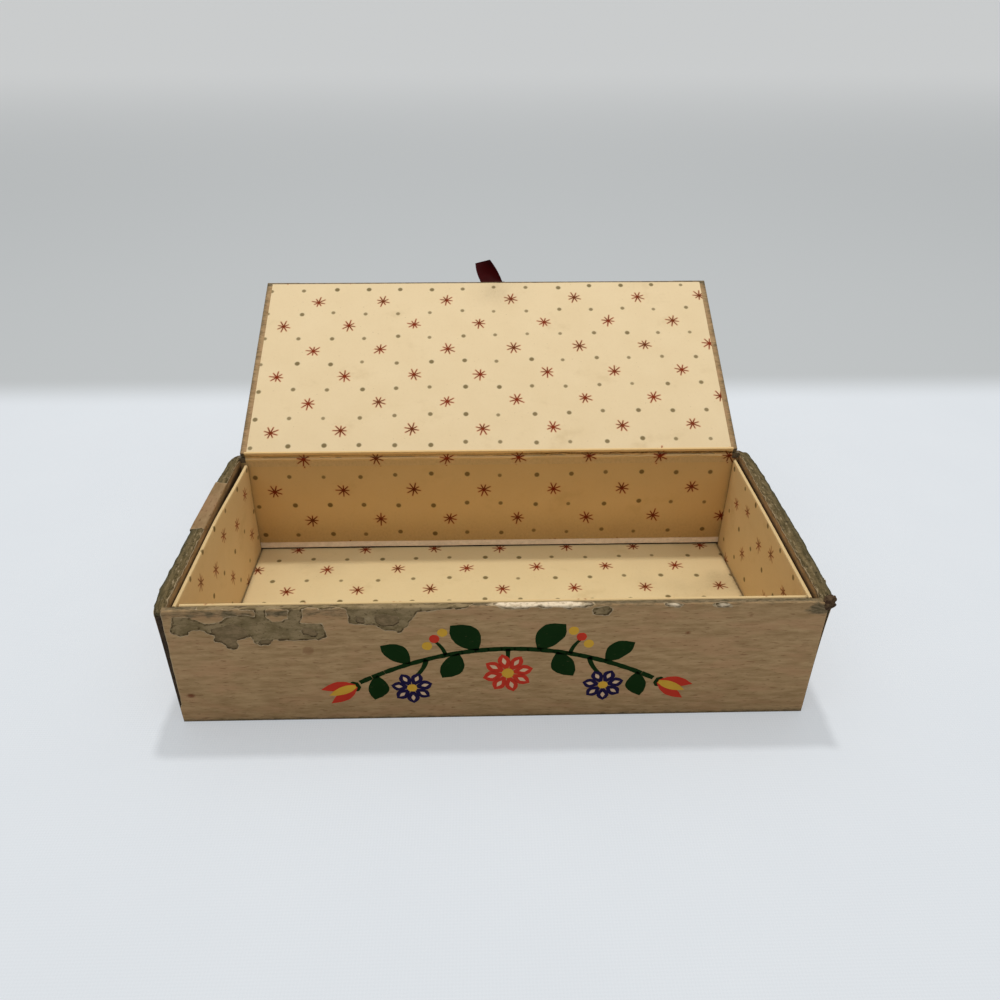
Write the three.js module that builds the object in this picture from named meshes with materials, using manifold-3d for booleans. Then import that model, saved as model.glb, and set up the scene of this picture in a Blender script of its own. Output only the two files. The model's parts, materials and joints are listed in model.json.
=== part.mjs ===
// Hinged cardboard soap box: a greyboard tray with stayed corners and a card liner that stands
// clear of the walls, a flat lid that drops between the walls, and a ribbon to lift it by.
// Millimetres, +Z up, front at -Y. The origin is under the middle of the tray.
import * as THREE from 'three';
import { mergeVertices } from 'three/addons/utils/BufferGeometryUtils.js';
import Module from 'manifold-3d';

const wasm = await Module();
wasm.setup();

// Driving dimensions: the box over its cover papers
const BOX_LENGTH = 200;
const BOX_DEPTH = 95;
const BOX_HEIGHT = 45.5;

// Board, paper and tape thicknesses
const WALL_BOARD = 1.6;
const BOTTOM_BOARD = 1.6;
const LID_BOARD = 1.5;
const FLOOR_CARD = 0.8;
const LINER_CARD = 0.9;
const COVER_PAPER = 0.2;
const BOTTOM_PAPER = 0.2;
const LINING_PAPER = 0.2;
const STAY_TAPE = 0.15;
const RIBBON = 0.2;
const GLUE_LINE = 0.05;

// Walls: how far the papers and tapes reach
const RIM_TURN_IN = 14;
const STAY_LEG = 12;
const STAY_END_MARGIN = 2;

// Liner: its gaps to the walls, and the play round the floor card
const SIDE_LINER_GAP = 2.0;
const FRONT_LINER_GAP = 3.1;
const LINER_END_GAP = 0.3;
const FLOOR_PLAY = 0.3;

// Lid: how it fits between the walls, and how far it stands open
const LID_OPEN_DEGREES = 152;
const LID_SIDE_CLEARANCE = 1.2;
const LID_FRONT_CLEARANCE = 0.6;
const LID_BACK_CLEARANCE = 0.4;
const LID_TOP_CLEARANCE = 0.05;
const LID_REST_GAP = 0.2;
const LID_TURN_IN = 12;
const LINING_SIDE_INSET = 2.5;
const LINING_FRONT_INSET = 0.6;

// Hinge papers: the flap glued to the lid, and the band that bends inside
const HINGE_FLAP = 7;
const HINGE_BAND = 2;

// Ribbon pull
const RIBBON_WIDTH = 10;
const RIBBON_OFFSET = 1.5;
const RIBBON_TUCK = 16;
const RIBBON_TAB = 12.5;
const RIBBON_PLAY = 0.4;
const RIBBON_RIM_CLEARANCE = 0.1;

// Materials
const paint = (color, roughness) => new THREE.MeshStandardMaterial({ color, roughness, metalness: 0 });
const greyboard = paint(0x8a8272, 0.95);
const stayPaper = paint(0x5b4a38, 0.9);
const woodGrainPaper = paint(0xb39a78, 0.8);
const bottomPaper = paint(0xa08c6e, 0.85);
const starPaper = paint(0xe8d3a6, 0.8);
const satin = paint(0x4a0d14, 0.45);

const box = new THREE.Group();

// A block between two values on each axis.
function block([x0, x1], [y0, y1], [z0, z1]) {
  const geometry = new THREE.BoxGeometry(x1 - x0, y1 - y0, z1 - z0);
  return geometry.translate((x0 + x1) / 2, (y0 + y1) / 2, (z0 + z1) / 2);
}

// A strip with one [y, z] outline all along its length.
function strip(outline, [x0, x1]) {
  const shape = new THREE.Shape(outline.map(([y, z]) => new THREE.Vector2(y, z)));
  const geometry = new THREE.ExtrudeGeometry(shape, { depth: x1 - x0, bevelEnabled: false });
  const alongX = new THREE.Matrix4().makeBasis(
    new THREE.Vector3(0, 1, 0),
    new THREE.Vector3(0, 0, 1),
    new THREE.Vector3(1, 0, 0),
  );
  return geometry.applyMatrix4(alongX).translate(x0, 0, 0);
}

// Closed solids from three.js geometry, and back.
function toSolid(geometry) {
  const bare = geometry.clone();
  bare.deleteAttribute('normal');
  bare.deleteAttribute('uv');
  const merged = mergeVertices(bare);
  return new wasm.Manifold(new wasm.Mesh({
    numProp: 3,
    vertProperties: merged.attributes.position.array,
    triVerts: Uint32Array.from(merged.index.array),
  }));
}

function toGeometry(solid) {
  const mesh = solid.getMesh();
  const geometry = new THREE.BufferGeometry();
  geometry.setAttribute('position', new THREE.BufferAttribute(Float32Array.from(mesh.vertProperties), 3));
  geometry.setIndex(new THREE.BufferAttribute(Uint32Array.from(mesh.triVerts), 1));
  geometry.computeVertexNormals();
  return geometry;
}

// One sheet of paper folded round edges: its panels joined, less any notches.
function foldedSheet(panels, notches = []) {
  const sheet = panels.map(toSolid).reduce((whole, panel) => whole.add(panel));
  return toGeometry(notches.map(toSolid).reduce((whole, notch) => whole.subtract(notch), sheet));
}

function piece(parent, name, geometry, material) {
  const mesh = new THREE.Mesh(geometry, material);
  mesh.name = name;
  parent.add(mesh);
}

const span = (half) => [-half, half];

// Tray: the layers from the outside in
const coverX = BOX_LENGTH / 2;
const coverY = BOX_DEPTH / 2;
const underCoverX = coverX - COVER_PAPER;
const underCoverY = coverY - COVER_PAPER;
const stayX = underCoverX - GLUE_LINE;
const stayY = underCoverY - GLUE_LINE;
const boardX = stayX - STAY_TAPE - GLUE_LINE;
const boardY = stayY - STAY_TAPE - GLUE_LINE;
const wallX = boardX - WALL_BOARD;
const wallY = boardY - WALL_BOARD;
const turnInX = wallX - GLUE_LINE;
const turnInY = wallY - GLUE_LINE;
const rimX = turnInX - COVER_PAPER;
const rimY = turnInY - COVER_PAPER;
const coverFoot = GLUE_LINE;
const boardFoot = BOTTOM_PAPER + GLUE_LINE;
const rimPaperFoot = BOX_HEIGHT - COVER_PAPER;
const boardTop = rimPaperFoot - GLUE_LINE;
const bedTop = boardFoot + BOTTOM_BOARD;

// Tray: bottom and walls. The side boards run the full depth, the others stand between them.
const bottomPaperPlan = [span(underCoverX - GLUE_LINE), span(underCoverY - GLUE_LINE)];
piece(box, 'bottom_paper', block(...bottomPaperPlan, [0, BOTTOM_PAPER]), bottomPaper);
const bottomBoardPlan = [span(wallX - GLUE_LINE), span(wallY - GLUE_LINE)];
piece(box, 'bottom_board', block(...bottomBoardPlan, [boardFoot, bedTop]), greyboard);

const boardHeight = [boardFoot, boardTop];
const endWall = span(wallX - GLUE_LINE);
piece(box, 'front_wall_board', block(endWall, [-boardY, -wallY], boardHeight), greyboard);
piece(box, 'back_wall_board', block(endWall, [wallY, boardY], boardHeight), greyboard);
piece(box, 'left_wall_board', block([-boardX, -wallX], span(boardY), boardHeight), greyboard);
piece(box, 'right_wall_board', block([wallX, boardX], span(boardY), boardHeight), greyboard);

// Corner stays: tape bent round each upright corner, under the cover papers.
function cornerStay(sideX, sideY) {
  const order = (near, far) => [Math.min(near, far), Math.max(near, far)];
  const across = order(sideX * stayX, sideX * (stayX - STAY_LEG));
  const along = order(sideY * stayY, sideY * (stayY - STAY_LEG));
  const tapeX = order(sideX * stayX, sideX * (stayX - STAY_TAPE));
  const tapeY = order(sideY * stayY, sideY * (stayY - STAY_TAPE));
  const height = [boardFoot + STAY_END_MARGIN, boardTop - STAY_END_MARGIN];
  return foldedSheet([block(across, tapeY, height), block(tapeX, along, height)]);
}

for (const [sideX, left] of [[-1, 'left'], [1, 'right']]) {
  piece(box, `front_${left}_corner_stay`, cornerStay(sideX, -1), stayPaper);
  piece(box, `back_${left}_corner_stay`, cornerStay(sideX, 1), stayPaper);
}

// Cover papers: the outside, the fold over the rim, and the turn-in. The hinge papers close the back rim.
const coverHeight = [coverFoot, BOX_HEIGHT];
const rimHeight = [rimPaperFoot, BOX_HEIGHT];
const turnInHeight = [BOX_HEIGHT - RIM_TURN_IN, BOX_HEIGHT];
const frontRimSpan = span(rimX - GLUE_LINE);
piece(box, 'front_cover_paper', foldedSheet([
  block(span(coverX), [-coverY, -underCoverY], coverHeight),
  block(frontRimSpan, [-coverY, -rimY], rimHeight),
  block(frontRimSpan, [-turnInY, -rimY], turnInHeight),
]), woodGrainPaper);
const backCover = block(span(coverX), [underCoverY, coverY], coverHeight);
piece(box, 'back_cover_paper', backCover, woodGrainPaper);

const sideCoverSpan = span(underCoverY - GLUE_LINE);
const sideTurnInSpan = span(wallY - GLUE_LINE);
piece(box, 'left_cover_paper', foldedSheet([
  block([-coverX, -underCoverX], sideCoverSpan, coverHeight),
  block([-coverX, -rimX], sideCoverSpan, rimHeight),
  block([-turnInX, -rimX], sideTurnInSpan, turnInHeight),
]), woodGrainPaper);
piece(box, 'right_cover_paper', foldedSheet([
  block([underCoverX, coverX], sideCoverSpan, coverHeight),
  block([rimX, coverX], sideCoverSpan, rimHeight),
  block([rimX, turnInX], sideTurnInSpan, turnInHeight),
]), woodGrainPaper);

// Lid: its layers from the top down, measured from the hinge with the lid shut
const hingeY = wallY;
const hingeZ = BOX_HEIGHT;
const lidTop = -LID_TOP_CLEARANCE;
const lidCoverFoot = lidTop - COVER_PAPER;
const lidBoardTop = lidCoverFoot - GLUE_LINE;
const lidBoardFoot = lidBoardTop - LID_BOARD;
const lidTurnInTop = lidBoardFoot - GLUE_LINE;
const lidTurnInFoot = lidTurnInTop - COVER_PAPER;
const lidLiningTop = lidTurnInFoot - GLUE_LINE;
const lidLiningFoot = lidLiningTop - LINING_PAPER;
const lidX = rimX - LID_SIDE_CLEARANCE;
const lidBack = -LID_BACK_CLEARANCE;
const lidFront = -rimY + LID_FRONT_CLEARANCE - hingeY;
const lidBoardX = lidX - COVER_PAPER - GLUE_LINE;
const lidBoardFront = lidFront + COVER_PAPER + GLUE_LINE;
const lidFlapEnd = lidBack - HINGE_FLAP;

// Liner: cards that the shut lid lies on, each with its lining folded over the top
const linerTop = hingeZ + lidLiningFoot - LID_REST_GAP;
const linerFoot = bedTop + GLUE_LINE;
const linerCardTop = linerTop - LINING_PAPER - GLUE_LINE;
const sideCardOut = rimX - SIDE_LINER_GAP;
const sideCardIn = sideCardOut - LINER_CARD;
const sideLiningOut = sideCardIn - GLUE_LINE;
const sideLiningIn = sideLiningOut - LINING_PAPER;
const frontCardOut = -rimY + FRONT_LINER_GAP;
const frontCardIn = frontCardOut + LINER_CARD;
const frontLiningOut = frontCardIn + GLUE_LINE;
const frontLiningIn = frontLiningOut + LINING_PAPER;
const backLiningOut = wallY - GLUE_LINE;
const backLiningIn = backLiningOut - LINING_PAPER;
const sideLinerEnd = backLiningIn - LINER_END_GAP;

const cardHeight = [linerFoot, linerCardTop];
const liningHeight = [linerFoot, linerTop];
const liningFold = [linerTop - LINING_PAPER, linerTop];
const sideLinerSpan = [frontCardOut, sideLinerEnd];
const frontCardSpan = span(sideLiningIn - GLUE_LINE);
piece(box, 'front_liner_card', block(frontCardSpan, [frontCardOut, frontCardIn], cardHeight), greyboard);
piece(box, 'front_liner_paper', foldedSheet([
  block(frontCardSpan, [frontLiningOut, frontLiningIn], liningHeight),
  block(frontCardSpan, [frontCardOut, frontLiningIn], liningFold),
]), starPaper);
piece(box, 'left_liner_card', block([-sideCardOut, -sideCardIn], sideLinerSpan, cardHeight), greyboard);
piece(box, 'left_liner_paper', foldedSheet([
  block([-sideLiningOut, -sideLiningIn], sideLinerSpan, liningHeight),
  block([-sideCardOut, -sideLiningIn], sideLinerSpan, liningFold),
]), starPaper);
piece(box, 'right_liner_card', block([sideCardIn, sideCardOut], sideLinerSpan, cardHeight), greyboard);
piece(box, 'right_liner_paper', foldedSheet([
  block([sideLiningIn, sideLiningOut], sideLinerSpan, liningHeight),
  block([sideLiningIn, sideCardOut], sideLinerSpan, liningFold),
]), starPaper);

// Back lining: glued to the back board, up to where the hinge band begins
const hingeBandFoot = boardTop - HINGE_BAND;
const backLiningHeight = [linerFoot, hingeBandFoot - GLUE_LINE];
const backLining = block(frontRimSpan, [backLiningIn, backLiningOut], backLiningHeight);
piece(box, 'back_lining_paper', backLining, starPaper);

// Floor: a card dropped in between the liner cards, and its lining
const floorPlan = [span(sideLiningIn - FLOOR_PLAY), [frontLiningIn + FLOOR_PLAY, backLiningIn - FLOOR_PLAY]];
const floorCardFoot = bedTop + GLUE_LINE;
const floorCardTop = floorCardFoot + FLOOR_CARD;
const floorLiningFoot = floorCardTop + GLUE_LINE;
piece(box, 'floor_card', block(...floorPlan, [floorCardFoot, floorCardTop]), greyboard);
const floorLining = block(...floorPlan, [floorLiningFoot, floorLiningFoot + LINING_PAPER]);
piece(box, 'floor_lining_paper', floorLining, starPaper);

// The lid hangs in a group of its own, which turns about the hinge line.
const lid = new THREE.Group();
lid.position.set(0, hingeY, hingeZ);
lid.rotation.x = -THREE.MathUtils.degToRad(LID_OPEN_DEGREES);
box.add(lid);

const lidBoard = block(span(lidBoardX), [lidBoardFront, lidBack], [lidBoardFoot, lidBoardTop]);
piece(lid, 'lid_board', lidBoard, greyboard);

const lidWrap = [lidTurnInFoot, lidTop];
const lidTurnIn = [lidTurnInFoot, lidTurnInTop];
const ribbonSlot = span(RIBBON_WIDTH / 2 + RIBBON_PLAY).map((x) => x + RIBBON_OFFSET);
const sideFold = (side, depth) => (side < 0 ? [-lidX, -lidX + depth] : [lidX - depth, lidX]);
piece(lid, 'lid_cover_paper', foldedSheet(
  [
    block(span(lidX), [lidFront, lidFlapEnd - GLUE_LINE], [lidCoverFoot, lidTop]),
    block(span(lidX), [lidFront, lidFront + COVER_PAPER], lidWrap),
    block(span(lidX), [lidFront, lidFront + LID_TURN_IN], lidTurnIn),
    ...[-1, 1].map((side) => block(sideFold(side, COVER_PAPER), [lidFront, lidBack], lidWrap)),
    ...[-1, 1].map((side) => block(sideFold(side, LID_TURN_IN), [lidFront, lidBack], lidTurnIn)),
  ],
  [
    block(
      ribbonSlot,
      [lidFront - COVER_PAPER, lidFront + LID_TURN_IN + COVER_PAPER],
      [lidTurnInFoot - COVER_PAPER, lidBoardFoot],
    ),
  ],
), woodGrainPaper);

const lidLiningX = lidX - LINING_SIDE_INSET;
const lidLiningSpan = [lidFront + LINING_FRONT_INSET, lidBack];
const lidLining = block(span(lidLiningX), lidLiningSpan, [lidLiningFoot, lidLiningTop]);
piece(lid, 'lid_lining_paper', lidLining, starPaper);

// Ribbon: tucked under the lining, up the lid's free edge, and out over the front rim
const ribbonBack = lidFront + RIBBON_TUCK;
const ribbonIn = lidFront - GLUE_LINE;
const ribbonOut = ribbonIn - RIBBON;
const ribbonTip = lidFront - RIBBON_TAB;
const tuckTop = lidTurnInFoot + RIBBON;
const tabFoot = RIBBON_RIM_CLEARANCE;
const tabTop = tabFoot + RIBBON;
const ribbonSpan = span(RIBBON_WIDTH / 2).map((x) => x + RIBBON_OFFSET);
piece(lid, 'ribbon_pull', strip([
  [ribbonBack, lidTurnInFoot],
  [ribbonBack, tuckTop],
  [ribbonIn, tuckTop],
  [ribbonIn, tabTop],
  [ribbonTip, tabTop],
  [ribbonTip, tabFoot],
  [ribbonOut, tabFoot],
  [ribbonOut, lidTurnInFoot],
], ribbonSpan), satin);

// Hinge papers, bent as the lid stands. A point of the open lid, seen in the tray's frame:
function onOpenLid(y, z) {
  const point = new THREE.Vector3(0, y, z).applyEuler(lid.rotation).add(lid.position);
  return [point.y, point.z];
}

// Outer hinge paper: from the back rim, folded back on itself at the hinge, to the lid's outer face
const foldIn = hingeY + 2 * GLUE_LINE;
const foldOut = foldIn + 2 * COVER_PAPER;
const rimBack = underCoverY - GLUE_LINE;
piece(box, 'hinge_cover_strip', strip([
  [rimBack, rimPaperFoot],
  [foldIn, rimPaperFoot],
  onOpenLid(lidBack - GLUE_LINE, lidCoverFoot),
  onOpenLid(lidFlapEnd, lidCoverFoot),
  onOpenLid(lidFlapEnd, lidTop),
  onOpenLid(lidBack - 2 * COVER_PAPER, lidTop),
  [foldOut, BOX_HEIGHT],
  [rimBack, BOX_HEIGHT],
], span(lidBoardX)), woodGrainPaper);

// Inner hinge paper: the lining's band from the back wall to the lid's back edge
const bandBack = lidBack + GLUE_LINE;
const bandFront = bandBack + LINING_PAPER;
const bandBend = (lidTop + lidLiningFoot) / 3;
piece(box, 'hinge_lining_strip', strip([
  [backLiningIn, hingeBandFoot],
  [backLiningOut, hingeBandFoot],
  [backLiningOut, boardTop],
  onOpenLid(bandBack, bandBend),
  onOpenLid(bandBack, lidLiningFoot),
  onOpenLid(bandFront, lidLiningFoot),
  onOpenLid(bandFront, bandBend),
  [backLiningIn, boardTop],
], span(lidLiningX)), starPaper);

export default box;
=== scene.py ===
import json
import math

import bpy
import numpy as np
from mathutils import Matrix, Vector


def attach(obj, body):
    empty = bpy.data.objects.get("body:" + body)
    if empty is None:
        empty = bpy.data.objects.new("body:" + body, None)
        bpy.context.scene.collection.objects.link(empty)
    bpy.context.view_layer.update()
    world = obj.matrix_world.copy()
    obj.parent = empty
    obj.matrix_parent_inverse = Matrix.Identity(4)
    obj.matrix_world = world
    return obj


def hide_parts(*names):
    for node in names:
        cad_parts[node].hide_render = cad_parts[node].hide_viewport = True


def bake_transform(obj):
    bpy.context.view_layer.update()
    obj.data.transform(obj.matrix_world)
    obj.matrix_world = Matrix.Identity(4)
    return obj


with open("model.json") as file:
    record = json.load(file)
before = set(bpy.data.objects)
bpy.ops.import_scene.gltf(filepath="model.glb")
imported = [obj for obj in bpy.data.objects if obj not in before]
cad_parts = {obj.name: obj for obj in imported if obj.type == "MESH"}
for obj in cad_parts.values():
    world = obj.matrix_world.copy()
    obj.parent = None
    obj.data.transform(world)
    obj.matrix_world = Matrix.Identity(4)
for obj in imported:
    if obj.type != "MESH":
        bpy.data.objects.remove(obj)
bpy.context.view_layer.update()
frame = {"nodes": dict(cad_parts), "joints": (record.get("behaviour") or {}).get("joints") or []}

# The looks of a worn cardboard box with a hinged lid. Lengths are millimetres until a mesh is made.
MM = 0.001

# Repeatable noise
HASH_STEPS = (127.1, 311.7, 74.7)
HASH_SCALE = 43758.5453
OCTAVE_SUM = 1.6


def smooth(low, high, value):
    """0 below low, 1 above high, and a smooth rise between."""
    share = np.clip((value - low) / (high - low), 0, 1)
    return share * share * (3 - 2 * share)


def cell_value(column, row, seed):
    """A repeatable number from 0 to 1 for each cell of a grid."""
    wave = np.sin(column * HASH_STEPS[0] + row * HASH_STEPS[1] + seed * HASH_STEPS[2]) * HASH_SCALE
    return wave - np.floor(wave)


def noise(across, up, seed):
    """Smooth noise from -1 to 1, with features one unit wide."""
    column = np.floor(across)
    row = np.floor(up)
    x = smooth(0, 1, across - column)
    y = smooth(0, 1, up - row)
    low = cell_value(column, row, seed) * (1 - x) + cell_value(column + 1, row, seed) * x
    high = cell_value(column, row + 1, seed) * (1 - x) + cell_value(column + 1, row + 1, seed) * x
    return 2 * (low * (1 - y) + high * y) - 1


def ragged(across, up, seed, octaves=4):
    """Noise with finer detail added at each octave, from about -1 to 1."""
    total = np.zeros(np.broadcast(across, up).shape)
    for octave in range(octaves):
        scale = 2.0 ** octave
        total += noise(across * scale, up * scale, seed + octave) / scale
    return total / OCTAVE_SUM


def waves(amount, across, up, lengths, seed):
    """Gentle waves of paper, from 0 to about twice the amount."""
    return amount * (1 + ragged(across / lengths[0], up / lengths[1], seed))


def fade(rub, distance):
    """A rub of (amount, reach), which fades with the distance."""
    return rub[0] * np.exp(-distance / rub[1])


# Places in the frame
def node_points(name):
    return np.array([vertex.co for vertex in frame["nodes"][name].data.vertices]) / MM


def node_box(name):
    points = node_points(name)
    return points.min(axis=0), points.max(axis=0)


joint = frame["joints"][0]
HINGE = np.array(joint["pos_m"]) / MM
OPEN_ANGLE = math.radians(-joint["range_deg"][0])
LID_UP = np.array([0, -math.cos(OPEN_ANGLE), math.sin(OPEN_ANGLE)])
LID_IN = np.array([0, -math.sin(OPEN_ANGLE), -math.cos(OPEN_ANGLE)])


def on_lid(across, up, inward):
    """Points from places on the lid: along the hinge, away from it, and inwards from the lid's outer face."""
    across, up, inward = np.broadcast_arrays(across, up, inward)
    sideways = across[..., None] * np.array([1.0, 0, 0])
    return HINGE + sideways + up[..., None] * LID_UP + inward[..., None] * LID_IN


def lid_box(name):
    """A lid node's lowest and highest (across, up, inward)."""
    points = node_points(name) - HINGE
    local = np.stack([points[:, 0], points @ LID_UP, points @ LID_IN], axis=-1)
    return local.min(axis=0), local.max(axis=0)


front_low, front_high = node_box("front_cover_paper")
HALF_LENGTH = front_high[0]
HALF_DEPTH = -front_low[1]
RIM = front_high[2]
RIM_WIDTH = front_high[1] - front_low[1]
FOOT = front_low[2]

# Each wall: the way along it, to the right seen from outside, and the way out, then half its length and
# how far out it stands
WALLS = {
    "front": ((1, 0), (0, -1), HALF_LENGTH, HALF_DEPTH),
    "right": ((0, 1), (1, 0), HALF_DEPTH, HALF_LENGTH),
    "back": ((-1, 0), (0, 1), HALF_LENGTH, HALF_DEPTH),
    "left": ((0, -1), (-1, 0), HALF_DEPTH, HALF_LENGTH),
}


def on_wall(wall, along, out, height):
    """Points from places on a wall: along it, out from the box's middle, and up."""
    run, face = WALLS[wall][:2]
    along, out, height = np.broadcast_arrays(along, out, height)
    return np.stack([run[0] * along + face[0] * out, run[1] * along + face[1] * out, height], axis=-1)


# Meshes
SHARP = math.radians(40)
TORN_EDGE_FADE = 0.32
TINY = 1e-6
FAR_OUTSIDE = -1e3


def steps(start, stop, step):
    """Values from start to stop, about a step apart."""
    count = max(1, math.ceil(abs(stop - start) / step))
    return np.linspace(start, stop, count + 1)


def edge_steps(start, stop, count):
    """Values from start to stop, closest together at both ends."""
    return start + (stop - start) * (1 - np.cos(np.linspace(0, math.pi, count + 1))) / 2


def unit(vector):
    return vector / np.linalg.norm(vector)


def rounded_path(corners, radius, step, arc_points=6):
    """Points along straight runs between corners, with each inner corner rounded."""
    corners = [np.array(corner, float) for corner in corners]
    points = [corners[0]]

    def go_to(target):
        start = points[-1]
        length = np.linalg.norm(target - start)
        for share in steps(0, 1, step / max(length, step))[1:]:
            points.append(start + (target - start) * share)

    for before, here, after in zip(corners, corners[1:], corners[2:]):
        back = unit(before - here)
        ahead = unit(after - here)
        half_angle = math.acos(np.clip(back @ ahead, -1, 1)) / 2
        reach = radius / math.tan(half_angle)
        centre = here + unit(back + ahead) * radius / math.sin(half_angle)
        first = here + back * reach - centre
        last = here + ahead * reach - centre
        go_to(here + back * reach)
        for share in np.linspace(0, 1, arc_points)[1:]:
            spoke = first * (1 - share) + last * share
            points.append(centre + spoke * radius / np.linalg.norm(spoke))
    go_to(corners[-1])
    return np.array(points)


def path_run(path):
    """The distance along a path at each of its points."""
    return np.concatenate([[0], np.cumsum(np.linalg.norm(np.diff(path, axis=0), axis=1))])


def follow(path, run):
    """The two coordinates of a path, at distances along it."""
    run_at = path_run(path)
    return np.interp(run, run_at, path[:, 0]), np.interp(run, run_at, path[:, 1])


def print_from(origin, foot=0.0, sign=1):
    """A sheet's places in a print that starts at an origin, for a sheet that starts at a height."""
    return lambda along, run: (along * sign - origin[0], foot + run - origin[1])


def add_object(name, data):
    made = bpy.data.objects.new(name, data)
    bpy.context.scene.collection.objects.link(made)
    return made


def make_object(name, vertices, faces, material, places, fields):
    """A smooth mesh, with each point's place in the print and the values of the fields its material reads."""
    mesh = bpy.data.meshes.new(name)
    mesh.from_pydata((np.asarray(vertices) * MM).tolist(), [], faces)
    layer = mesh.uv_layers.new(name="print")
    corners = np.zeros(len(mesh.loops), dtype=np.int32)
    mesh.loops.foreach_get("vertex_index", corners)
    layer.data.foreach_set("uv", np.asarray(places, dtype=np.float32)[corners].ravel())
    for field, values in fields.items():
        attribute = mesh.attributes.new(field, "FLOAT", "POINT")
        attribute.data.foreach_set("value", np.asarray(values, dtype=np.float32))
    mesh.polygons.foreach_set("use_smooth", np.ones(len(mesh.polygons), dtype=bool))
    mesh.set_sharp_from_angle(angle=SHARP)
    mesh.materials.append(material)
    return add_object(name, mesh)


def point_normals(points, faces):
    """Each point's mean normal over the faces that share it."""
    corners = points[faces]
    face_normals = np.cross(corners[:, 2] - corners[:, 0], corners[:, 3] - corners[:, 1])
    normals = np.zeros_like(points)
    for corner in range(4):
        np.add.at(normals, faces[:, corner], face_normals)
    return normals / np.maximum(np.linalg.norm(normals, axis=1), 1e-9)[:, None]


def open_edges(faces):
    """The edges that only one face uses, in that face's order."""
    edges = np.concatenate([faces[:, [i, (i + 1) % 4]] for i in range(4)]).tolist()
    used = set(map(tuple, edges))
    return np.array([edge for edge in edges if (edge[1], edge[0]) not in used])


def trim_to_tear(across, up, depth):
    """Moves torn points next to whole paper back onto the tear's edge, and tells which points are torn."""
    slope_up = np.gradient(depth, up[:, 0], axis=0)
    slope_across = np.gradient(depth, across[0], axis=1)
    steepness = slope_up ** 2 + slope_across ** 2 + TINY
    torn = depth > 0
    whole = np.pad(~torn, 1, constant_values=False)
    rows, columns = depth.shape
    beside_whole = np.zeros_like(torn)
    for row in range(3):
        for column in range(3):
            beside_whole |= whole[row:row + rows, column:column + columns]
    moved = torn & beside_whole

    def shifted(places, slope, widest):
        shift = np.clip(-depth * slope / steepness, -widest, widest)
        return np.where(moved, places + shift, places)

    trimmed_across = shifted(across, slope_across, np.abs(np.diff(across[0])).max())
    trimmed_up = shifted(up, slope_up, np.abs(np.diff(up[:, 0])).max())
    return trimmed_across, trimmed_up, torn


def make_sheet(
    name, place, along, run, thickness, material, tear=None, flip=False, print_place=None, fields=None
):
    """A closed thin sheet over a grid of places along and across it.

    place turns grids of (along, run) into points. The sheet is gone where tear, the depth in mm inside its
    torn patches, is above zero. print_place turns the grids into the places that the print is drawn by.
    fields holds functions of (along, run) whose values the material uses.
    """
    across, up = np.meshgrid(along, run)
    stored = {field: value(across, up) for field, value in (fields or {}).items()}
    torn = np.zeros(across.shape, bool)
    if tear:
        depth = tear(across, up)
        stored["torn_edge"] = np.exp(np.minimum(depth, 0) / TORN_EDGE_FADE)
        across, up, torn = trim_to_tear(across, up, depth)
    points = place(across, up).reshape(-1, 3)
    printed = print_place(across, up) if print_place else (across, up)
    index = np.arange(across.size).reshape(across.shape)
    quads = np.stack([index[:-1, :-1], index[:-1, 1:], index[1:, 1:], index[1:, :-1]], axis=-1).reshape(-1, 4)
    quads = quads[~torn.ravel()[quads].all(axis=1)]
    if flip:
        quads = quads[:, ::-1]
    used = np.unique(quads)
    quads = np.searchsorted(used, quads)
    points = points[used]
    count = len(points)
    behind = points - point_normals(points, quads) * thickness
    rim = open_edges(quads)
    rim_faces = np.stack([rim[:, 1], rim[:, 0], rim[:, 0] + count, rim[:, 1] + count], axis=-1)
    faces = np.concatenate([quads, quads[:, ::-1] + count, rim_faces]).tolist()
    places = np.stack([value.ravel()[used] for value in printed], axis=-1)
    values = {field: np.tile(value.ravel()[used], 2) for field, value in stored.items()}
    vertices = np.concatenate([points, behind])
    return make_object(name, vertices, faces, material, np.tile(places, (2, 1)), values)


def bar_faces(count, around, first=0):
    """The faces of a closed bar through so many rings of points, with flat ends."""
    index = first + np.arange(count * around).reshape(count, around)
    ahead = np.roll(index, -1, axis=1)
    quads = np.stack([index[:-1], index[1:], ahead[1:], ahead[:-1]], axis=-1).reshape(-1, 4)
    return quads.tolist() + [index[0].tolist(), index[-1][::-1].tolist()]


def make_bar(name, rings, material, places, fields):
    """A closed bar through rings of points."""
    faces = bar_faces(*rings.shape[:2])
    values = {field: value.ravel() for field, value in fields.items()}
    return make_object(name, rings.reshape(-1, 3), faces, material, places.reshape(-1, 2), values)


def outline_depth(outline, across, up):
    """How far inside a closed outline each place lies, below zero outside."""
    inside = np.zeros(across.shape, bool)
    nearest = np.full(across.shape, np.inf)
    corners = np.array(outline, float)
    for here, there in zip(corners, np.roll(corners, -1, axis=0)):
        step = there - here
        share = np.clip(((across - here[0]) * step[0] + (up - here[1]) * step[1]) / (step @ step), 0, 1)
        reach = np.hypot(across - here[0] - share * step[0], up - here[1] - share * step[1])
        nearest = np.minimum(nearest, reach)
        crosses = (here[1] > up) != (there[1] > up)
        rise = step[1] if step[1] else 1e-9
        inside ^= crosses & (across < here[0] + (up - here[1]) * step[0] / rise)
    return np.where(inside, nearest, -nearest)


def spot_depth(spots, across, up):
    """How far inside any of several spots each place lies: ovals of (across, up, half width, half height)."""
    depth = np.full(across.shape, FAR_OUTSIDE)
    for middle, height, wide, tall in spots:
        reach = np.hypot((across - middle) / wide, (up - height) / tall)
        depth = np.maximum(depth, (1 - reach) * min(wide, tall))
    return depth


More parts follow.
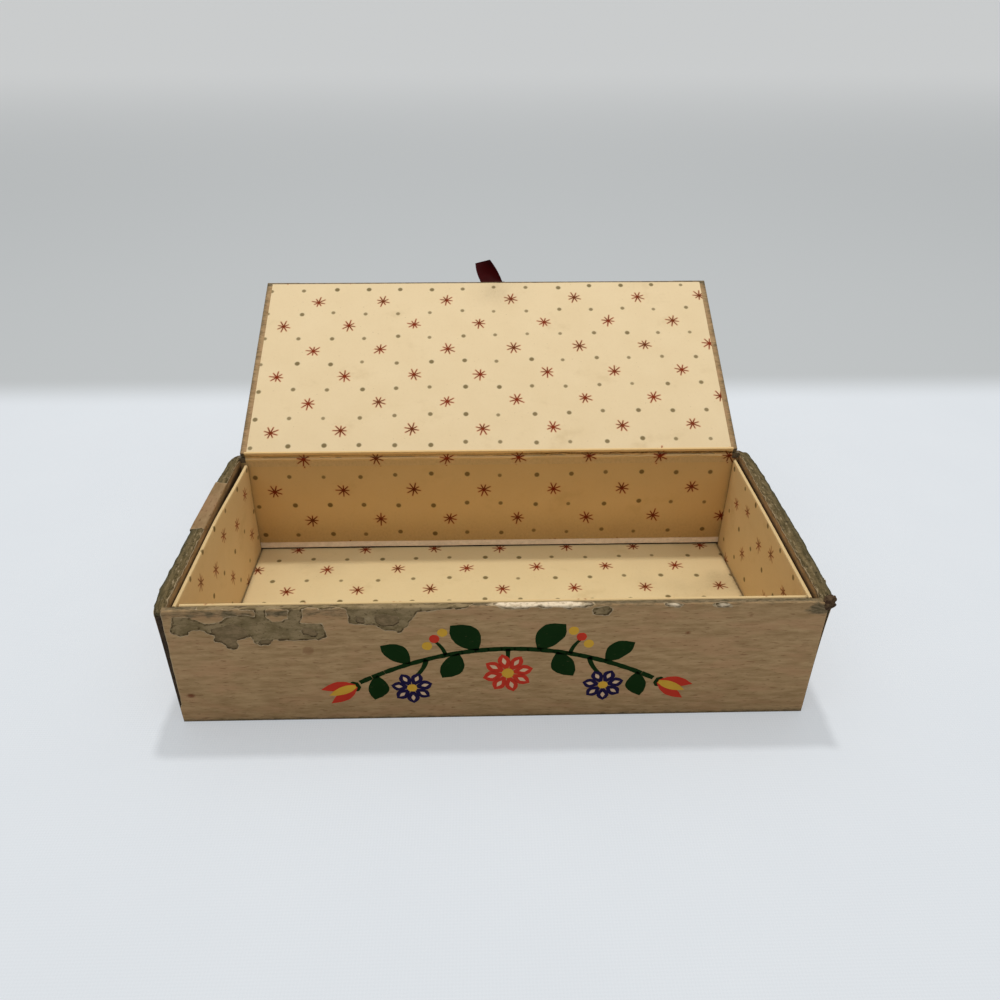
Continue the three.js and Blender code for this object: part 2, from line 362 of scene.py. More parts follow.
# Materials
class Wire:
    """A node's output. Formulas take it like a number, or like three numbers where it is a vector."""

    def __init__(self, tree, socket, vector=False):
        self.tree = tree
        self.socket = socket
        self.vector = vector

    def do(self, operation, *others):
        """This wire and others, put through a math node."""
        kind = "VectorMath" if self.vector else "Math"
        output = "Value" if operation == "LENGTH" or not self.vector else "Vector"
        inputs = dict(enumerate((self, *others)))
        return self.tree.wire(kind, inputs, output, output == "Vector", operation=operation)

    def __add__(self, other):
        return self.do("ADD", other)

    def __sub__(self, other):
        return self.do("SUBTRACT", other)

    def __mul__(self, other):
        return self.do("MULTIPLY", other)

    def __truediv__(self, other):
        return self.do("DIVIDE", other)

    def rise(self, low, high, start=0.0, end=1.0):
        """start where the wire is below low, end above high, smooth between."""
        inputs = {"Value": self, "From Min": low, "From Max": high, "To Min": start, "To Max": end}
        return self.tree.wire("MapRange", inputs, "Result", interpolation_type="SMOOTHSTEP")

    def parts(self):
        return [Wire(self.tree, output) for output in self.tree.node("SeparateXYZ", {0: self}).outputs]


class Nodes:
    """The nodes of a material or of the world."""

    def __init__(self, owner):
        owner.use_nodes = True
        self.nodes = owner.node_tree.nodes
        self.links = owner.node_tree.links

    def feed(self, socket, value):
        """Links a wire to the socket, or sets a plain value on it."""
        if isinstance(value, Wire):
            self.links.new(value.socket, socket)
        elif socket.type == "RGBA":
            socket.default_value = (*value, 1)
        else:
            socket.default_value = value

    def node(self, kind, inputs, **settings):
        """A new node with its settings and inputs."""
        node = self.nodes.new("ShaderNode" + kind)
        for name, value in settings.items():
            setattr(node, name, value)
        for key, value in inputs.items():
            self.feed(node.inputs[key], value)
        return node

    def wire(self, kind, inputs, output=0, vector=False, **settings):
        """One output of a new node."""
        return Wire(self, self.node(kind, inputs, **settings).outputs[output], vector)


class Paint(Nodes):
    """One procedural material, built node by node."""

    def __init__(self, name, roughness, specular):
        self.material = bpy.data.materials.new(name)
        super().__init__(self.material)
        self.nodes.clear()
        self.shader = self.node("BsdfPrincipled", {"Roughness": roughness, "Specular IOR Level": specular})
        self.surface = Wire(self, self.shader.outputs["BSDF"])
        self.output = self.node("OutputMaterial", {"Surface": self.surface})

    def mix(self, share, first, second):
        return self.wire("Mix", {"Factor": share, 6: first, 7: second}, 2, data_type="RGBA")

    def coats(self, colour, *coats):
        """A colour with coats of (share, colour) over it, one after another."""
        for share, coat in coats:
            colour = self.mix(share, colour, coat)
        return colour

    def noise(self, place, frequency, detail=3.0, roughness=0.5):
        """Noise from 0 to 1, with so many features per mm along each axis of place."""
        inputs = {"Vector": place * frequency, "Scale": 1.0, "Detail": detail, "Roughness": roughness}
        return self.wire("TexNoise", inputs, "Fac")

    def chance(self, place):
        """A value from 0 to 1 and a random colour for each whole-number place."""
        node = self.node("TexWhiteNoise", {"Vector": place}, noise_dimensions="3D")
        return Wire(self, node.outputs["Value"]), Wire(self, node.outputs["Color"], True)

    def field(self, name):
        return self.wire("Attribute", {}, "Fac", attribute_name=name)

    def print_place(self):
        return self.wire("UVMap", {}, "UV", True, uv_map="print")

    def frame_place(self):
        """The surface's place in the frame at rest, in mm."""
        return self.wire("TexCoord", {}, "Object", True) * (1 / MM, 1 / MM, 1 / MM)

    def finish(self, colour, height, strength, depth):
        """Feeds the shader, with a bump of the given depth in mm."""
        bump = self.wire("Bump", {"Strength": strength, "Distance": depth * MM, "Height": height}, "Normal")
        self.feed(self.shader.inputs["Base Color"], colour)
        self.feed(self.shader.inputs["Normal"], bump)
        return self.material


STAR_PITCH = 27.65
ROW_PITCH = 13.63
STAR_JITTER = 0.7
STAR_TURN = 0.5
STAR_RAYS = 8
STAR_REACH = (2.2, 3.3)
RAY_HALF_WIDTH = 0.29
RAY_TAPER = 0.5
RAY_CHANCE = (0.37, 0.71, 1.3)
FRINGE = 0.24
DOT_JITTER = 1.3
DOT_RADII = (0.75, 1.05)
HALF_CELL = (0.5, 0.5, 0.5)


def lattice(paint, place, cell, offset, jitter, seed):
    """The place relative to the nearest point of a lattice, that point's index, and its random value."""
    counted = (place - offset) / cell
    index = (counted + HALF_CELL).do("FLOOR")
    local = (counted - index) * cell
    index = index + (0, 0, seed)
    value, colour = paint.chance(index)
    wander = (colour - HALF_CELL) * (jitter, jitter, 0)
    return (local - wander) * (1, 1, 0), index, value


def star_print(paint, place, offset, seed):
    """How much ink of hand-drawn stars covers each place, and how much of its red fringe."""
    cell = (STAR_PITCH, 2 * ROW_PITCH, 1)
    local, index, value = lattice(paint, place, cell, offset, STAR_JITTER, seed)
    x, y = local.parts()[:2]
    reach = local.do("LENGTH")
    turn = y.do("ARCTAN2", x) + value * STAR_TURN
    counted = turn * (STAR_RAYS / (2 * math.pi))
    ray = (counted + 0.5).do("FLOOR")
    aside = (counted - ray).do("ABSOLUTE") * (2 * math.pi / STAR_RAYS) * reach
    ray_index = index + Wire(paint, ray.socket, True) * RAY_CHANCE
    shortest, longest = STAR_REACH
    ray_end = paint.chance(ray_index)[0] * (longest - shortest) + shortest
    half_width = (reach / ray_end * -RAY_TAPER + 1.0) * RAY_HALF_WIDTH
    inside = half_width - aside
    before_end = ray_end - reach
    covered = inside.rise(-0.1, 0.08) * before_end.rise(-0.1, 0.25)
    fringed = inside.rise(-2 * FRINGE, 0) * before_end.rise(-2 * FRINGE, 0)
    return covered, fringed


def dot_print(paint, place):
    """How much ink of soft dots covers each place."""
    cell = (STAR_PITCH / 2, ROW_PITCH, 1)
    local, _, value = lattice(paint, place, cell, (STAR_PITCH / 4, ROW_PITCH / 2, 0), DOT_JITTER, 7)
    smallest, largest = DOT_RADII
    radius = value * (largest - smallest) + smallest
    return (radius - local.do("LENGTH")).rise(-0.28, 0.3) * (value * 0.2 + 0.8)


def star_paper(name, tint, ink_share=1.0):
    """Cream lining paper, printed with red stars and olive dots. tint scales its colours: below 1 as painted
    shade, above 1 as painted light. Its grime field is 1 where it is darkest: painted shade in corners, gaps
    and creases, and real stains in places.
    """
    paint = Paint(name, roughness=0.72, specular=0.08)
    place = paint.print_place()

    def tinted(*colour):
        return tuple(value * share for value, share in zip(colour, tint))

    mottle = paint.noise(place, (0.06, 0.06, 1), 4.0, 0.6)
    fibre = paint.noise(place, (1.1, 0.8, 1), 3.0, 0.6)
    smudge = paint.noise(place, (0.045, 0.06, 1), 4.0, 0.65)
    specks = paint.noise(place, (0.9, 0.9, 1), 2.0)
    first = star_print(paint, place, (0, 0, 0), 1)
    second = star_print(paint, place, (STAR_PITCH / 2, ROW_PITCH, 0), 2)
    stars, fringes = (one.do("MAXIMUM", other) for one, other in zip(first, second))
    star_ink = paint.mix(mottle.rise(0.42, 0.58), tinted(0.130, 0.026, 0.004), tinted(0.220, 0.020, 0.002))
    colour = paint.coats(
        paint.mix(mottle, tinted(0.79, 0.605, 0.355), tinted(0.87, 0.69, 0.43)),
        (fibre.rise(0.5, 0.8) * 0.2, tinted(0.70, 0.51, 0.28)),
        (smudge.rise(0.56, 0.74) * 0.3, tinted(0.60, 0.43, 0.22)),
        (specks.rise(0.70, 0.76) * 0.3, (0.40, 0.26, 0.12)),
        (dot_print(paint, place) * 0.9, tinted(0.155, 0.110, 0.036)),
        (fringes * (0.5 * ink_share), tinted(0.58, 0.17, 0.060)),
        (stars * (fibre * (0.3 * ink_share) + 0.84 * ink_share), star_ink),
        # Real stains, and painted shade in corners, gaps and the hinge's crease
        (paint.field("dirt_and_shade") * (fibre + 0.5), (0.085, 0.042, 0.010)),
    )
    return paint.finish(colour, fibre, 0.25, 0.06)


def wood_grain(paint, place):
    """Colour and height of a printed wood grain that runs along the first coordinate."""
    streaks = paint.noise(place, (0.11, 0.55, 1), 5.0, 0.65)
    fibres = paint.noise(place, (0.20, 4.5, 1), 3.0, 0.55)
    blotches = paint.noise(place, (0.05, 0.15, 1), 4.0, 0.6)
    ticks = paint.noise(place, (0.32, 1.7, 1))
    colour = paint.coats(
        paint.mix(streaks.rise(0.3, 0.7), (0.325, 0.199, 0.088), (0.500, 0.326, 0.162)),
        (fibres.rise(0.3, 0.7) * 0.3, (0.40, 0.254, 0.119)),
        (blotches.rise(0.45, 0.65) * 0.55, (0.48, 0.274, 0.138)),
        (ticks.rise(0.58, 0.70) * 0.6, (0.20, 0.098, 0.042)),
    )
    return colour, fibres


def wood_paper(name):
    """Worn printed wood-grain paper.

    The field torn_edge is 1 at torn edges and marked where it has a brown mark. Its rub field is 1 where the
    print is rubbed, and along the foot, where it is also painted contact shade. Its grime field is 1 where it
    is black: painted shade down in the gap to the liner, and real grime on the left rim.
    """
    paint = Paint(name, roughness=0.68, specular=0.1)
    place = paint.print_place()
    grain, fibres = wood_grain(paint, place)
    rub = paint.noise(place, (0.30, 0.8, 1), 4.0, 0.65)
    worn = paint.noise(place, (0.45, 1.5, 1), 4.0, 0.7)
    bared = paint.mix(worn.rise(0.38, 0.62), (0.100, 0.074, 0.036), (0.240, 0.172, 0.092))
    colour = paint.coats(
        grain,
        # Rubbed print, and painted contact shade along the walls' foot
        ((paint.field("wear_and_shade") + (rub - 0.5)).rise(0.3, 0.8), bared),
        (paint.field("marked") * 0.85, (0.15, 0.036, 0.013)),
        ((paint.field("torn_edge") * (rub + 0.4)).rise(0.5, 0.85), (0.48, 0.36, 0.215)),
        # Painted shade in the gap to the liner, and real grime on the left rim
        (paint.field("dirt_and_shade") * 0.78, (0.020, 0.011, 0.004)),
    )
    return paint.finish(colour, fibres + rub, 0.35, 0.08)


def greyboard(name, dark, light):
    """Rough grey board, streaked along its length. Its grime field is 1 where it is darkest."""
    paint = Paint(name, roughness=0.9, specular=0.05)
    place = paint.print_place()
    streaks = paint.noise(place, (0.12, 2.2, 1), 5.0, 0.7)
    fluff = paint.noise(place, (0.35, 3.0, 1), 4.0, 0.7)
    pits = paint.noise(place, (0.9, 1.5, 1), 3.0, 0.6)
    colour = paint.coats(
        paint.mix(streaks.rise(0.34, 0.66), dark, light),
        (fluff.rise(0.53, 0.66) * 0.7, (0.40, 0.30, 0.175)),
        (paint.field("dirt_and_shade") * (fluff + 0.3), (0.062, 0.060, 0.034)),
        (pits.rise(0.56, 0.68) * 0.75, (0.030, 0.023, 0.011)),
    )
    return paint.finish(colour, streaks + fluff, 1.0, 0.35)


def inner_board(name):
    """Plain grey board where it is hidden, mapped by its place in the frame."""
    paint = Paint(name, roughness=0.9, specular=0.1)
    place = paint.frame_place()
    fibre = paint.noise(place, (0.25, 0.25, 1.2), 5.0, 0.65)
    speck = paint.noise(place, (1.5, 1.5, 1.5), 2.0)
    colour = paint.coats(
        paint.mix(fibre, (0.12, 0.094, 0.058), (0.25, 0.195, 0.125)),
        (speck.rise(0.62, 0.7) * 0.5, (0.06, 0.05, 0.04)),
    )
    return paint.finish(colour, fibre, 0.6, 0.2)


def scuffed_ply(name):
    """The grey layer under the front's print, white where the field bare is 1, and dark along the torn edges
    where its grime field is 1: painted shade under the torn paper's step, with some grime.
    """
    paint = Paint(name, roughness=0.85, specular=0.05)
    place = paint.print_place()
    cloud = paint.noise(place, (0.14, 0.25, 1), 5.0, 0.65)
    fibre = paint.noise(place, (0.5, 1.4, 1), 4.0, 0.65)
    pits = paint.noise(place, (0.7, 0.9, 1), 3.0, 0.6)
    white = paint.mix(pits.rise(0.45, 0.65), (0.86, 0.70, 0.49), (0.58, 0.44, 0.28))
    colour = paint.coats(
        paint.mix(cloud.rise(0.38, 0.62), (0.194, 0.140, 0.066), (0.315, 0.228, 0.119)),
        (fibre.rise(0.52, 0.7) * 0.5, (0.37, 0.265, 0.145)),
        (pits.rise(0.57, 0.68) * 0.6, (0.080, 0.054, 0.024)),
        # Painted shade and some grime along the torn edges
        ((paint.field("dirt_and_shade") * (fibre + 0.45)).rise(0.25, 0.75) * 0.85, (0.070, 0.045, 0.020)),
        ((paint.field("torn_edge") * (fibre + 0.3)).rise(0.6, 0.85) * 0.6, (0.40, 0.30, 0.175)),
        ((paint.field("bare") + fibre * 0.6).rise(0.4, 1.2), white),
    )
    return paint.finish(colour, cloud + fibre, 0.8, 0.2)


def kraft(name, dark, light):
    """Plain paper, mapped by its place in the frame."""
    paint = Paint(name, roughness=0.8, specular=0.08)
    place = paint.frame_place()
    fibre = paint.noise(place, (0.5, 0.5, 0.9), 5.0, 0.65)
    blotch = paint.noise(place, (0.05, 0.05, 0.05))
    colour = paint.coats(paint.mix(fibre.rise(0.3, 0.7), dark, light), (blotch.rise(0.45, 0.7) * 0.35, dark))
    return paint.finish(colour, fibre, 0.4, 0.1)


def ink(name, tint):
    """Printed ink, rubbed thin in places so that the wood grain under it shows."""
    paint = Paint(name, roughness=0.6, specular=0.02)
    place = paint.print_place()
    under, fibres = wood_grain(paint, place)
    rub = paint.noise(place, (0.5, 1.6, 1), 4.0, 0.7)
    depth = paint.noise(place, (0.12, 0.12, 1))
    dark, light = (tuple(level * value for value in tint) for level in (0.8, 1.2))
    colour = paint.coats(paint.mix(depth, dark, light), (rub.rise(0.63, 0.80) * 0.6, under))
    return paint.finish(colour, fibres, 0.25, 0.05)


def satin(name):
    """Dark red satin, with fine threads across the ribbon and soft creases."""
    paint = Paint(name, roughness=0.5, specular=0.02)
    place = paint.print_place()
    threads = paint.noise(place, (0.4, 7.0, 1), 2.0)
    creases = paint.noise(place, (0.5, 0.16, 1))
    colour = paint.coats(
        paint.mix(creases, (0.014, 0.0006, 0.0008), (0.045, 0.0015, 0.0016)),
        (threads * 0.4, (0.06, 0.002, 0.002)),
    )
    return paint.finish(colour, threads + creases, 0.4, 0.1)


FLOOR_GLOW_SHARE = 0.46
FLOOR_GLOW = 0.95
FLOOR_FADE = (188, 230)
FLOOR_HORIZON = (450, 2400)
FLOOR_WEAVE = 3.6


def pale_floor(name):
    """A pale woven floor, darker behind the box and paler again far off.

    Part of what the camera sees of it is its own colour, which keeps the shadow on it light.
    """
    paint = Paint(name, roughness=0.85, specular=0.1)
    place = paint.frame_place()
    cloud = paint.noise(place, (0.02, 0.02, 0.02), 4.0, 0.6)
    x, y = place.parts()[:2]
    weave = ((x + y) * FLOOR_WEAVE).do("SINE") * ((x - y) * FLOOR_WEAVE).do("SINE")
    colour = paint.coats(
        paint.mix(cloud, (0.765, 0.795, 0.83), (0.80, 0.83, 0.86)),
        (weave.rise(-0.6, 0.8) * 0.25, (0.71, 0.74, 0.77)),
        (y.rise(*FLOOR_FADE), (0.545, 0.562, 0.566)),
        (y.rise(*FLOOR_HORIZON), (0.77, 0.78, 0.78)),
    )
    glow = paint.wire("Emission", {"Color": colour, "Strength": FLOOR_GLOW})
    share = paint.wire("LightPath", {}, "Is Camera Ray") * FLOOR_GLOW_SHARE
    paint.feed(paint.output.inputs["Surface"], paint.wire("MixShader", {0: share, 1: paint.surface, 2: glow}))
    return paint.finish(colour, weave, 0.1, 0.2)


# The linings share one star paper, each with its own tint as painted light and shade: darker and warmer on
# the back wall, the liners and the floor, which lie in the box's shade, and lighter on the lid and on the
# hinge's lip.
back_lining_material = star_paper("star_back_paper", (0.82, 0.69, 0.48))
liner_material = star_paper("star_liner_paper", (0.87, 0.80, 0.65), 0.75)
hinge_lining_material = star_paper("star_hinge_paper", (1.05, 0.92, 0.70))
floor_lining_material = star_paper("star_floor_paper", (0.87, 0.86, 0.76))
lid_lining_material = star_paper("star_lid_paper", (1.03, 1.02, 1.0))
wood_material = wood_paper("wood_grain_paper")
worn_board_material = greyboard("worn_greyboard", (0.085, 0.063, 0.027), (0.205, 0.146, 0.068))
board_material = inner_board("plain_greyboard")
ply_material = scuffed_ply("scuffed_front_ply")
tape_material = kraft("dark_kraft_tape", (0.030, 0.020, 0.012), (0.075, 0.052, 0.033))
bottom_material = kraft("tan_bottom_paper", (0.26, 0.19, 0.11), (0.40, 0.30, 0.18))
foot_material = kraft("bare_lining_paper", (0.74, 0.58, 0.40), (0.88, 0.70, 0.50))
torn_board_material = kraft("torn_front_board", (0.170, 0.120, 0.058), (0.290, 0.200, 0.105))
lump_material = kraft("torn_corner", (0.030, 0.014, 0.008), (0.150, 0.095, 0.050))
ribbon_material = satin("dark_red_satin")


def dress(node, material):
    """Gives a CAD node that stays a material of its own."""
    mesh = frame["nodes"][node].data
    mesh.materials.clear()
    mesh.materials.append(material)


def settle(piece, body, slot, *nodes):
    """A piece rides on its body and stands for CAD nodes, which it hides. slot is not used."""
    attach(piece, body)
    if nodes:
        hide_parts(*nodes)


# Wall papers
TURN_IN = 14.0
CORNER_RADIUS = 0.9
RIM_RADIUS = 0.5
PAPER = 0.12
PLY_DEPTH = 0.13
ARC_INSET = CORNER_RADIUS * (1 - math.sqrt(0.5))
FOOT_RUN = 0.6
RIM_RUN = RIM + FOOT_RUN
# Painted shade down the gap between a wall's turned-in paper and its liner: how far past the rim's inner edge
# it starts and where it is full
GAP_SHADE = (1.2, 3.4)
KEPT_GRIME = 0.4
# Rubs and wear, as (amount, reach). The foot's darkening is wear and painted contact shade, and the torn
# patches' is painted shade with some grime
RIM_WEAR = (1.1, 1.6)
RIM_RUB = (1.15, 1.7)
CORNER_RUB = (0.55, 0.8)
FOOT_WEAR_AND_SHADE = (0.95, 1.3)
# Painted shade under the torn paper's step, with some grime, along the inside of the torn patches
PATCH_GRIME_AND_SHADE = (1.0, 0.3)
# How far each side wall's board has swollen outwards at its rim, by place from front to back
SWELL_PLACES = (-47.5, -44.0, -36.0, -20.0, 0.0, 30.0, 47.5)
SWELLS = {
    "left": (0.0, 1.1, 1.8, 1.7, 1.9, 1.5, 0.8),
    "right": (0.8, 2.2, 2.6, 2.8, 2.9, 2.5, 1.6),
}
# How far the paper turned in over each side wall's rim stands off inwards
PUFFS = {"left": 0.7, "right": 0.1}
# The heights over which the stand-off and the rim's wear come in
PUFF_BAND = (RIM - 12, RIM - 1)
WEAR_BAND = (RIM - 6, RIM)


def rim_shift(wall, along, share, height):
    """How far a side wall has moved out. share is 1 on its swollen outer face and 0 on its inner one."""
    if wall not in SWELLS:
        return np.zeros(np.broadcast(along, share, height).shape)
    place = along * WALLS[wall][0][1]
    swell = np.interp(place, SWELL_PLACES, SWELLS[wall]) * np.clip(height / RIM, 0, 1) ** 3
    puff = PUFFS[wall] * smooth(*PUFF_BAND, height)
    return share * swell - (1 - share) * puff


def rim_drop(wall, along, height):
    """How far the rim has worn down near the ends of a wall."""
    return fade(RIM_WEAR, WALLS[wall][2] - np.abs(along)) * smooth(*WEAR_BAND, height)


def wall_surface(wall, path, inset):
    """Turns (along, run) into points on a wall's paper, whose section is path, with round upright corners."""
    half, reach = WALLS[wall][2:]

    def place(along, run):
        out, height = follow(path, run)
        mitre = (half - (reach - out)) / half
        past = np.clip(np.abs(along) - (half - CORNER_RADIUS), 0, CORNER_RADIUS)
        rounding = CORNER_RADIUS - np.sqrt(CORNER_RADIUS ** 2 - past ** 2)
        share = np.clip((out - reach + RIM_WIDTH) / RIM_WIDTH, 0, 1)
        shift = rim_shift(wall, along, share, height)
        level = np.maximum(height - inset - rim_drop(wall, along, height), FOOT)
        return on_wall(wall, along * mitre, out - inset - rounding + shift, level)

    return place


def cover_path(wall, step):
    """The section of a wall's paper: up the outside and, but at the back, over the rim and down inside."""
    reach = WALLS[wall][3]
    corners = [(reach - FOOT_RUN, FOOT), (reach, FOOT), (reach, RIM)]
    if wall != "back":
        corners += [(reach - RIM_WIDTH, RIM), (reach - RIM_WIDTH, RIM - TURN_IN)]
    return rounded_path(corners, RIM_RADIUS, step)


# The torn patches of the front, as outlines of (along, up the paper): one below the rim with two arms up to
# it, and one that runs along the rim and widens to its right
FRONT_TEARS = [
    [
        (-94.5, 43.4), (-96.6, 37.5), (-93.7, 36.2), (-91.5, 36.5), (-90.0, 38.5), (-87.6, 39.2),
        (-84.3, 35.8), (-83.8, 34.0), (-82.1, 34.0), (-80.3, 31.4), (-77.9, 30.9), (-76.8, 32.3),
        (-77.1, 33.8), (-73.0, 36.2), (-72.3, 33.3), (-70.9, 32.5), (-67.5, 32.6), (-66.6, 33.9),
        (-52.9, 34.3), (-50.3, 35.0), (-51.5, 40.2), (-57.5, 40.8), (-57.0, 46.6), (-60.3, 46.6),
        (-60.6, 42.0), (-63.0, 41.3), (-65.5, 41.2), (-67.3, 43.4), (-67.3, 46.6), (-70.0, 46.6),
        (-70.6, 43.2), (-77.5, 43.6), (-81.5, 41.4), (-85.5, 40.9), (-90.4, 43.3),
    ],
    [
        (-43.6, 46.0), (-43.6, 40.2), (-35.2, 39.2), (-33.5, 37.5), (-32.1, 36.8), (-29.5, 36.9),
        (-28.9, 34.8), (-27.8, 37.0), (-25.3, 40.6), (-23.1, 44.3), (-8.0, 45.6), (-6.0, 48.0),
        (-89.0, 48.0), (-88.0, 46.1),
    ],
]
# Places of the front as oval spots, (along, up the paper, half width, half height): spots on the top edge
# where the white core shows, a grey spot, spots where a second layer is gone, and rubbed spots
BARE_SPOTS = [(7, 46.9, 8.6, 1.9), (20, 46.5, 9.5, 1.6), (53.5, 45.4, 2.6, 0.8), (68.4, 45.2, 2.6, 0.9)]
GREY_SPOTS = [(32, 43.6, 3.2, 1.6)]
DEEP_SPOTS = [(-79, 35.5, 6, 5), (-69.6, 33.6, 2.8, 1.8), (-56.5, 37.2, 4.6, 2.6), (-34, 41, 6.5, 2.6)]
RUBBED_SPOTS = [(97.4, 43.6, 5.4, 3.6), (-68.0, 44.3, 30.0, 2.2), (-97.0, 44.5, 3.0, 1.5)]
# The rubbed strip above the torn patches: where it starts up the paper, and where it ends along the front
STRIP_RISE = (41.0, 44.0)
STRIP_END = (-46.0, -28.0)
# Brown marks on the front, as spots and how dark each is
MARKS = [((58.5, 34.6, 0.75, 0.6), 0.9), ((-95.2, 11.9, 1.3, 0.8), 0.95), ((-56.6, 29.8, 1.7, 1.8), 0.4)]
# The strip torn off the front's left corner: its width by height
CORNER_TEAR_HEIGHTS = (0.0, 6.0, 8.0, 46.0, 60.0)
CORNER_TEAR_WIDTHS = (-1.0, 0.0, 1.2, 2.1, 2.1)


def corner_tear(along, up):
    width = np.interp(up, CORNER_TEAR_HEIGHTS, CORNER_TEAR_WIDTHS) + 0.25 * ragged(up / 4, 0.0, 31)
    return -HALF_LENGTH + width - along


def patch_tear(along, up):
    """The torn patches and spots of the front, without the corner's strip."""
    patches = [outline_depth(outline, along, up) for outline in FRONT_TEARS]
    patch = np.maximum(*patches) + 0.85 * ragged(along / 2.2, up / 1.7, 11, 5)
    spots = spot_depth(BARE_SPOTS + GREY_SPOTS, along, up) + 0.8 * ragged(along / 2.2, up / 1.6, 12, 5)
    return np.maximum(patch, spots)


def front_tear(along, up):
    return np.maximum(patch_tear(along, up), corner_tear(along, up))


def deep_tear(along, up):
    """Where the second layer of the front is gone too."""
    deep = spot_depth(DEEP_SPOTS, along, up) + 2.2 * ragged(along / 4.5, up / 4.5, 13, 5) - 0.5
    return np.maximum(deep, corner_tear(along, up))


def patch_grime_and_shade(along, up):
    """Darkening along the inside of the torn patches' edges: painted shade under the step of the torn paper,
    with some grime.
    """
    return fade(PATCH_GRIME_AND_SHADE, np.abs(patch_tear(along, up) - 0.25))


def bare_core(along, up):
    return smooth(-0.4, 0.9, spot_depth(BARE_SPOTS, along, up) + 0.4 * ragged(along / 1.5, up, 16))


def kept_rim(along):
    """1 on the stretch of the left rim that has kept its paper."""
    return smooth(-6, -3, -along) * (1 - smooth(26, 29, -along))


def wear_and_foot_shade(wall):
    """How rubbed a wall's print is: most along its rim, its corners and its foot, whose darkening is also
    painted contact shade.
    """
    half = WALLS[wall][2]

    def rubbed(along, run):
        rim_rub = fade(RIM_RUB, np.abs(run - RIM_RUN - RIM_WIDTH / 2))
        if wall == "left":
            rim_rub = rim_rub * (1 - 0.75 * kept_rim(along))
        corner_rub = fade(CORNER_RUB, half - np.abs(along))
        # The foot's darkening: wear, and painted contact shade where the wall meets the floor
        most = np.maximum(np.maximum(rim_rub, corner_rub), fade(FOOT_WEAR_AND_SHADE, np.abs(run - FOOT_RUN)))
        if wall == "front":
            spots = spot_depth(RUBBED_SPOTS, along, run) + 1.5 * ragged(along / 3, run / 3, 15)
            strip = smooth(*STRIP_RISE, run) * (1 - smooth(*STRIP_END, along))
            most = np.maximum(most, np.maximum(0.85 * smooth(-0.6, 2.2, spots), 0.52 * strip))
        return most

    return rubbed


def gap_shade(along, run):
    """Painted shade on a wall's turned-in paper, down in the gap to the liner."""
    return smooth(*GAP_SHADE, run - RIM_RUN - RIM_WIDTH)


def left_shade_and_grime(along, run):
    """The left wall's darkening: painted shade in the gap, and real grime where the rim has kept its paper.
    """
    grime = KEPT_GRIME * kept_rim(along) * smooth(RIM_RUN - 8, RIM_RUN - 1, run)
    return np.maximum(gap_shade(along, run), grime)


def front_marks(along, run):
    shades = [dark * smooth(-0.2, 0.3, spot_depth([spot], along, run)) for spot, dark in MARKS]
    return np.max(shades, axis=0)


def wall_sheet(name, wall, path_step, along_step, material, tear, fields, inset=0.0):
    """A sheet over a wall's outside and rim, so far inside the wall's face."""
    half = WALLS[wall][2]
    path = cover_path(wall, path_step)
    along = steps(-half + ARC_INSET, half - ARC_INSET, along_step)
    surface = wall_surface(wall, path, inset)
    return make_sheet(name, surface, along, path_run(path), PAPER, material, tear, fields=fields)


def make_cover(wall, step, tear=None):
    """A wall's printed paper, with its torn patches, rubbed edges and small marks."""
    fields = {"wear_and_shade": wear_and_foot_shade(wall), "dirt_and_shade": left_shade_and_grime if wall == "left" else gap_shade}
    if wall == "front":
        fields["marked"] = front_marks
    piece = wall_sheet(wall + "_cover", wall, step, step, wood_material, tear, fields)
    settle(piece, "tray", "wood_grain_paper", wall + "_cover_paper")


def make_front_ply():
    """The grey layer that shows where the front's print is torn away."""
    fields = {"bare": bare_core, "dirt_and_shade": patch_grime_and_shade}
    piece = wall_sheet("front_under_ply", "front", 0.8, 0.7, ply_material, deep_tear, fields, PLY_DEPTH)
    settle(piece, "tray", "wood_grain_paper")


# The side walls' rims: where the paper is torn off, by place from front to back
SIDE_TEARS = {"left": ((-48, -4.2), (27.0, 48)), "right": ((-48, 48),)}
TORN_RIM = 1.9


def side_tear(wall):
    """The torn strip along a side wall's rim."""

    def tear(along, run):
        place = along * WALLS[wall][0][1]
        below = RIM_RUN - 0.7 - 1.3 * (1 + ragged(place / 5, 0.0, 41)) + 0.5 * ragged(place, run / 2, 44)
        beyond = RIM_RUN + TORN_RIM + 0.35 * ragged(place / 3, 0.0, 42)
        stretches = [np.minimum(place - start, stop - place) for start, stop in SIDE_TEARS[wall]]
        depth = np.minimum(np.minimum(run - below, beyond - run), np.max(stretches, axis=0))
        return depth + 0.25 * ragged(along / 1.5, run / 1.5, 43)

    return tear


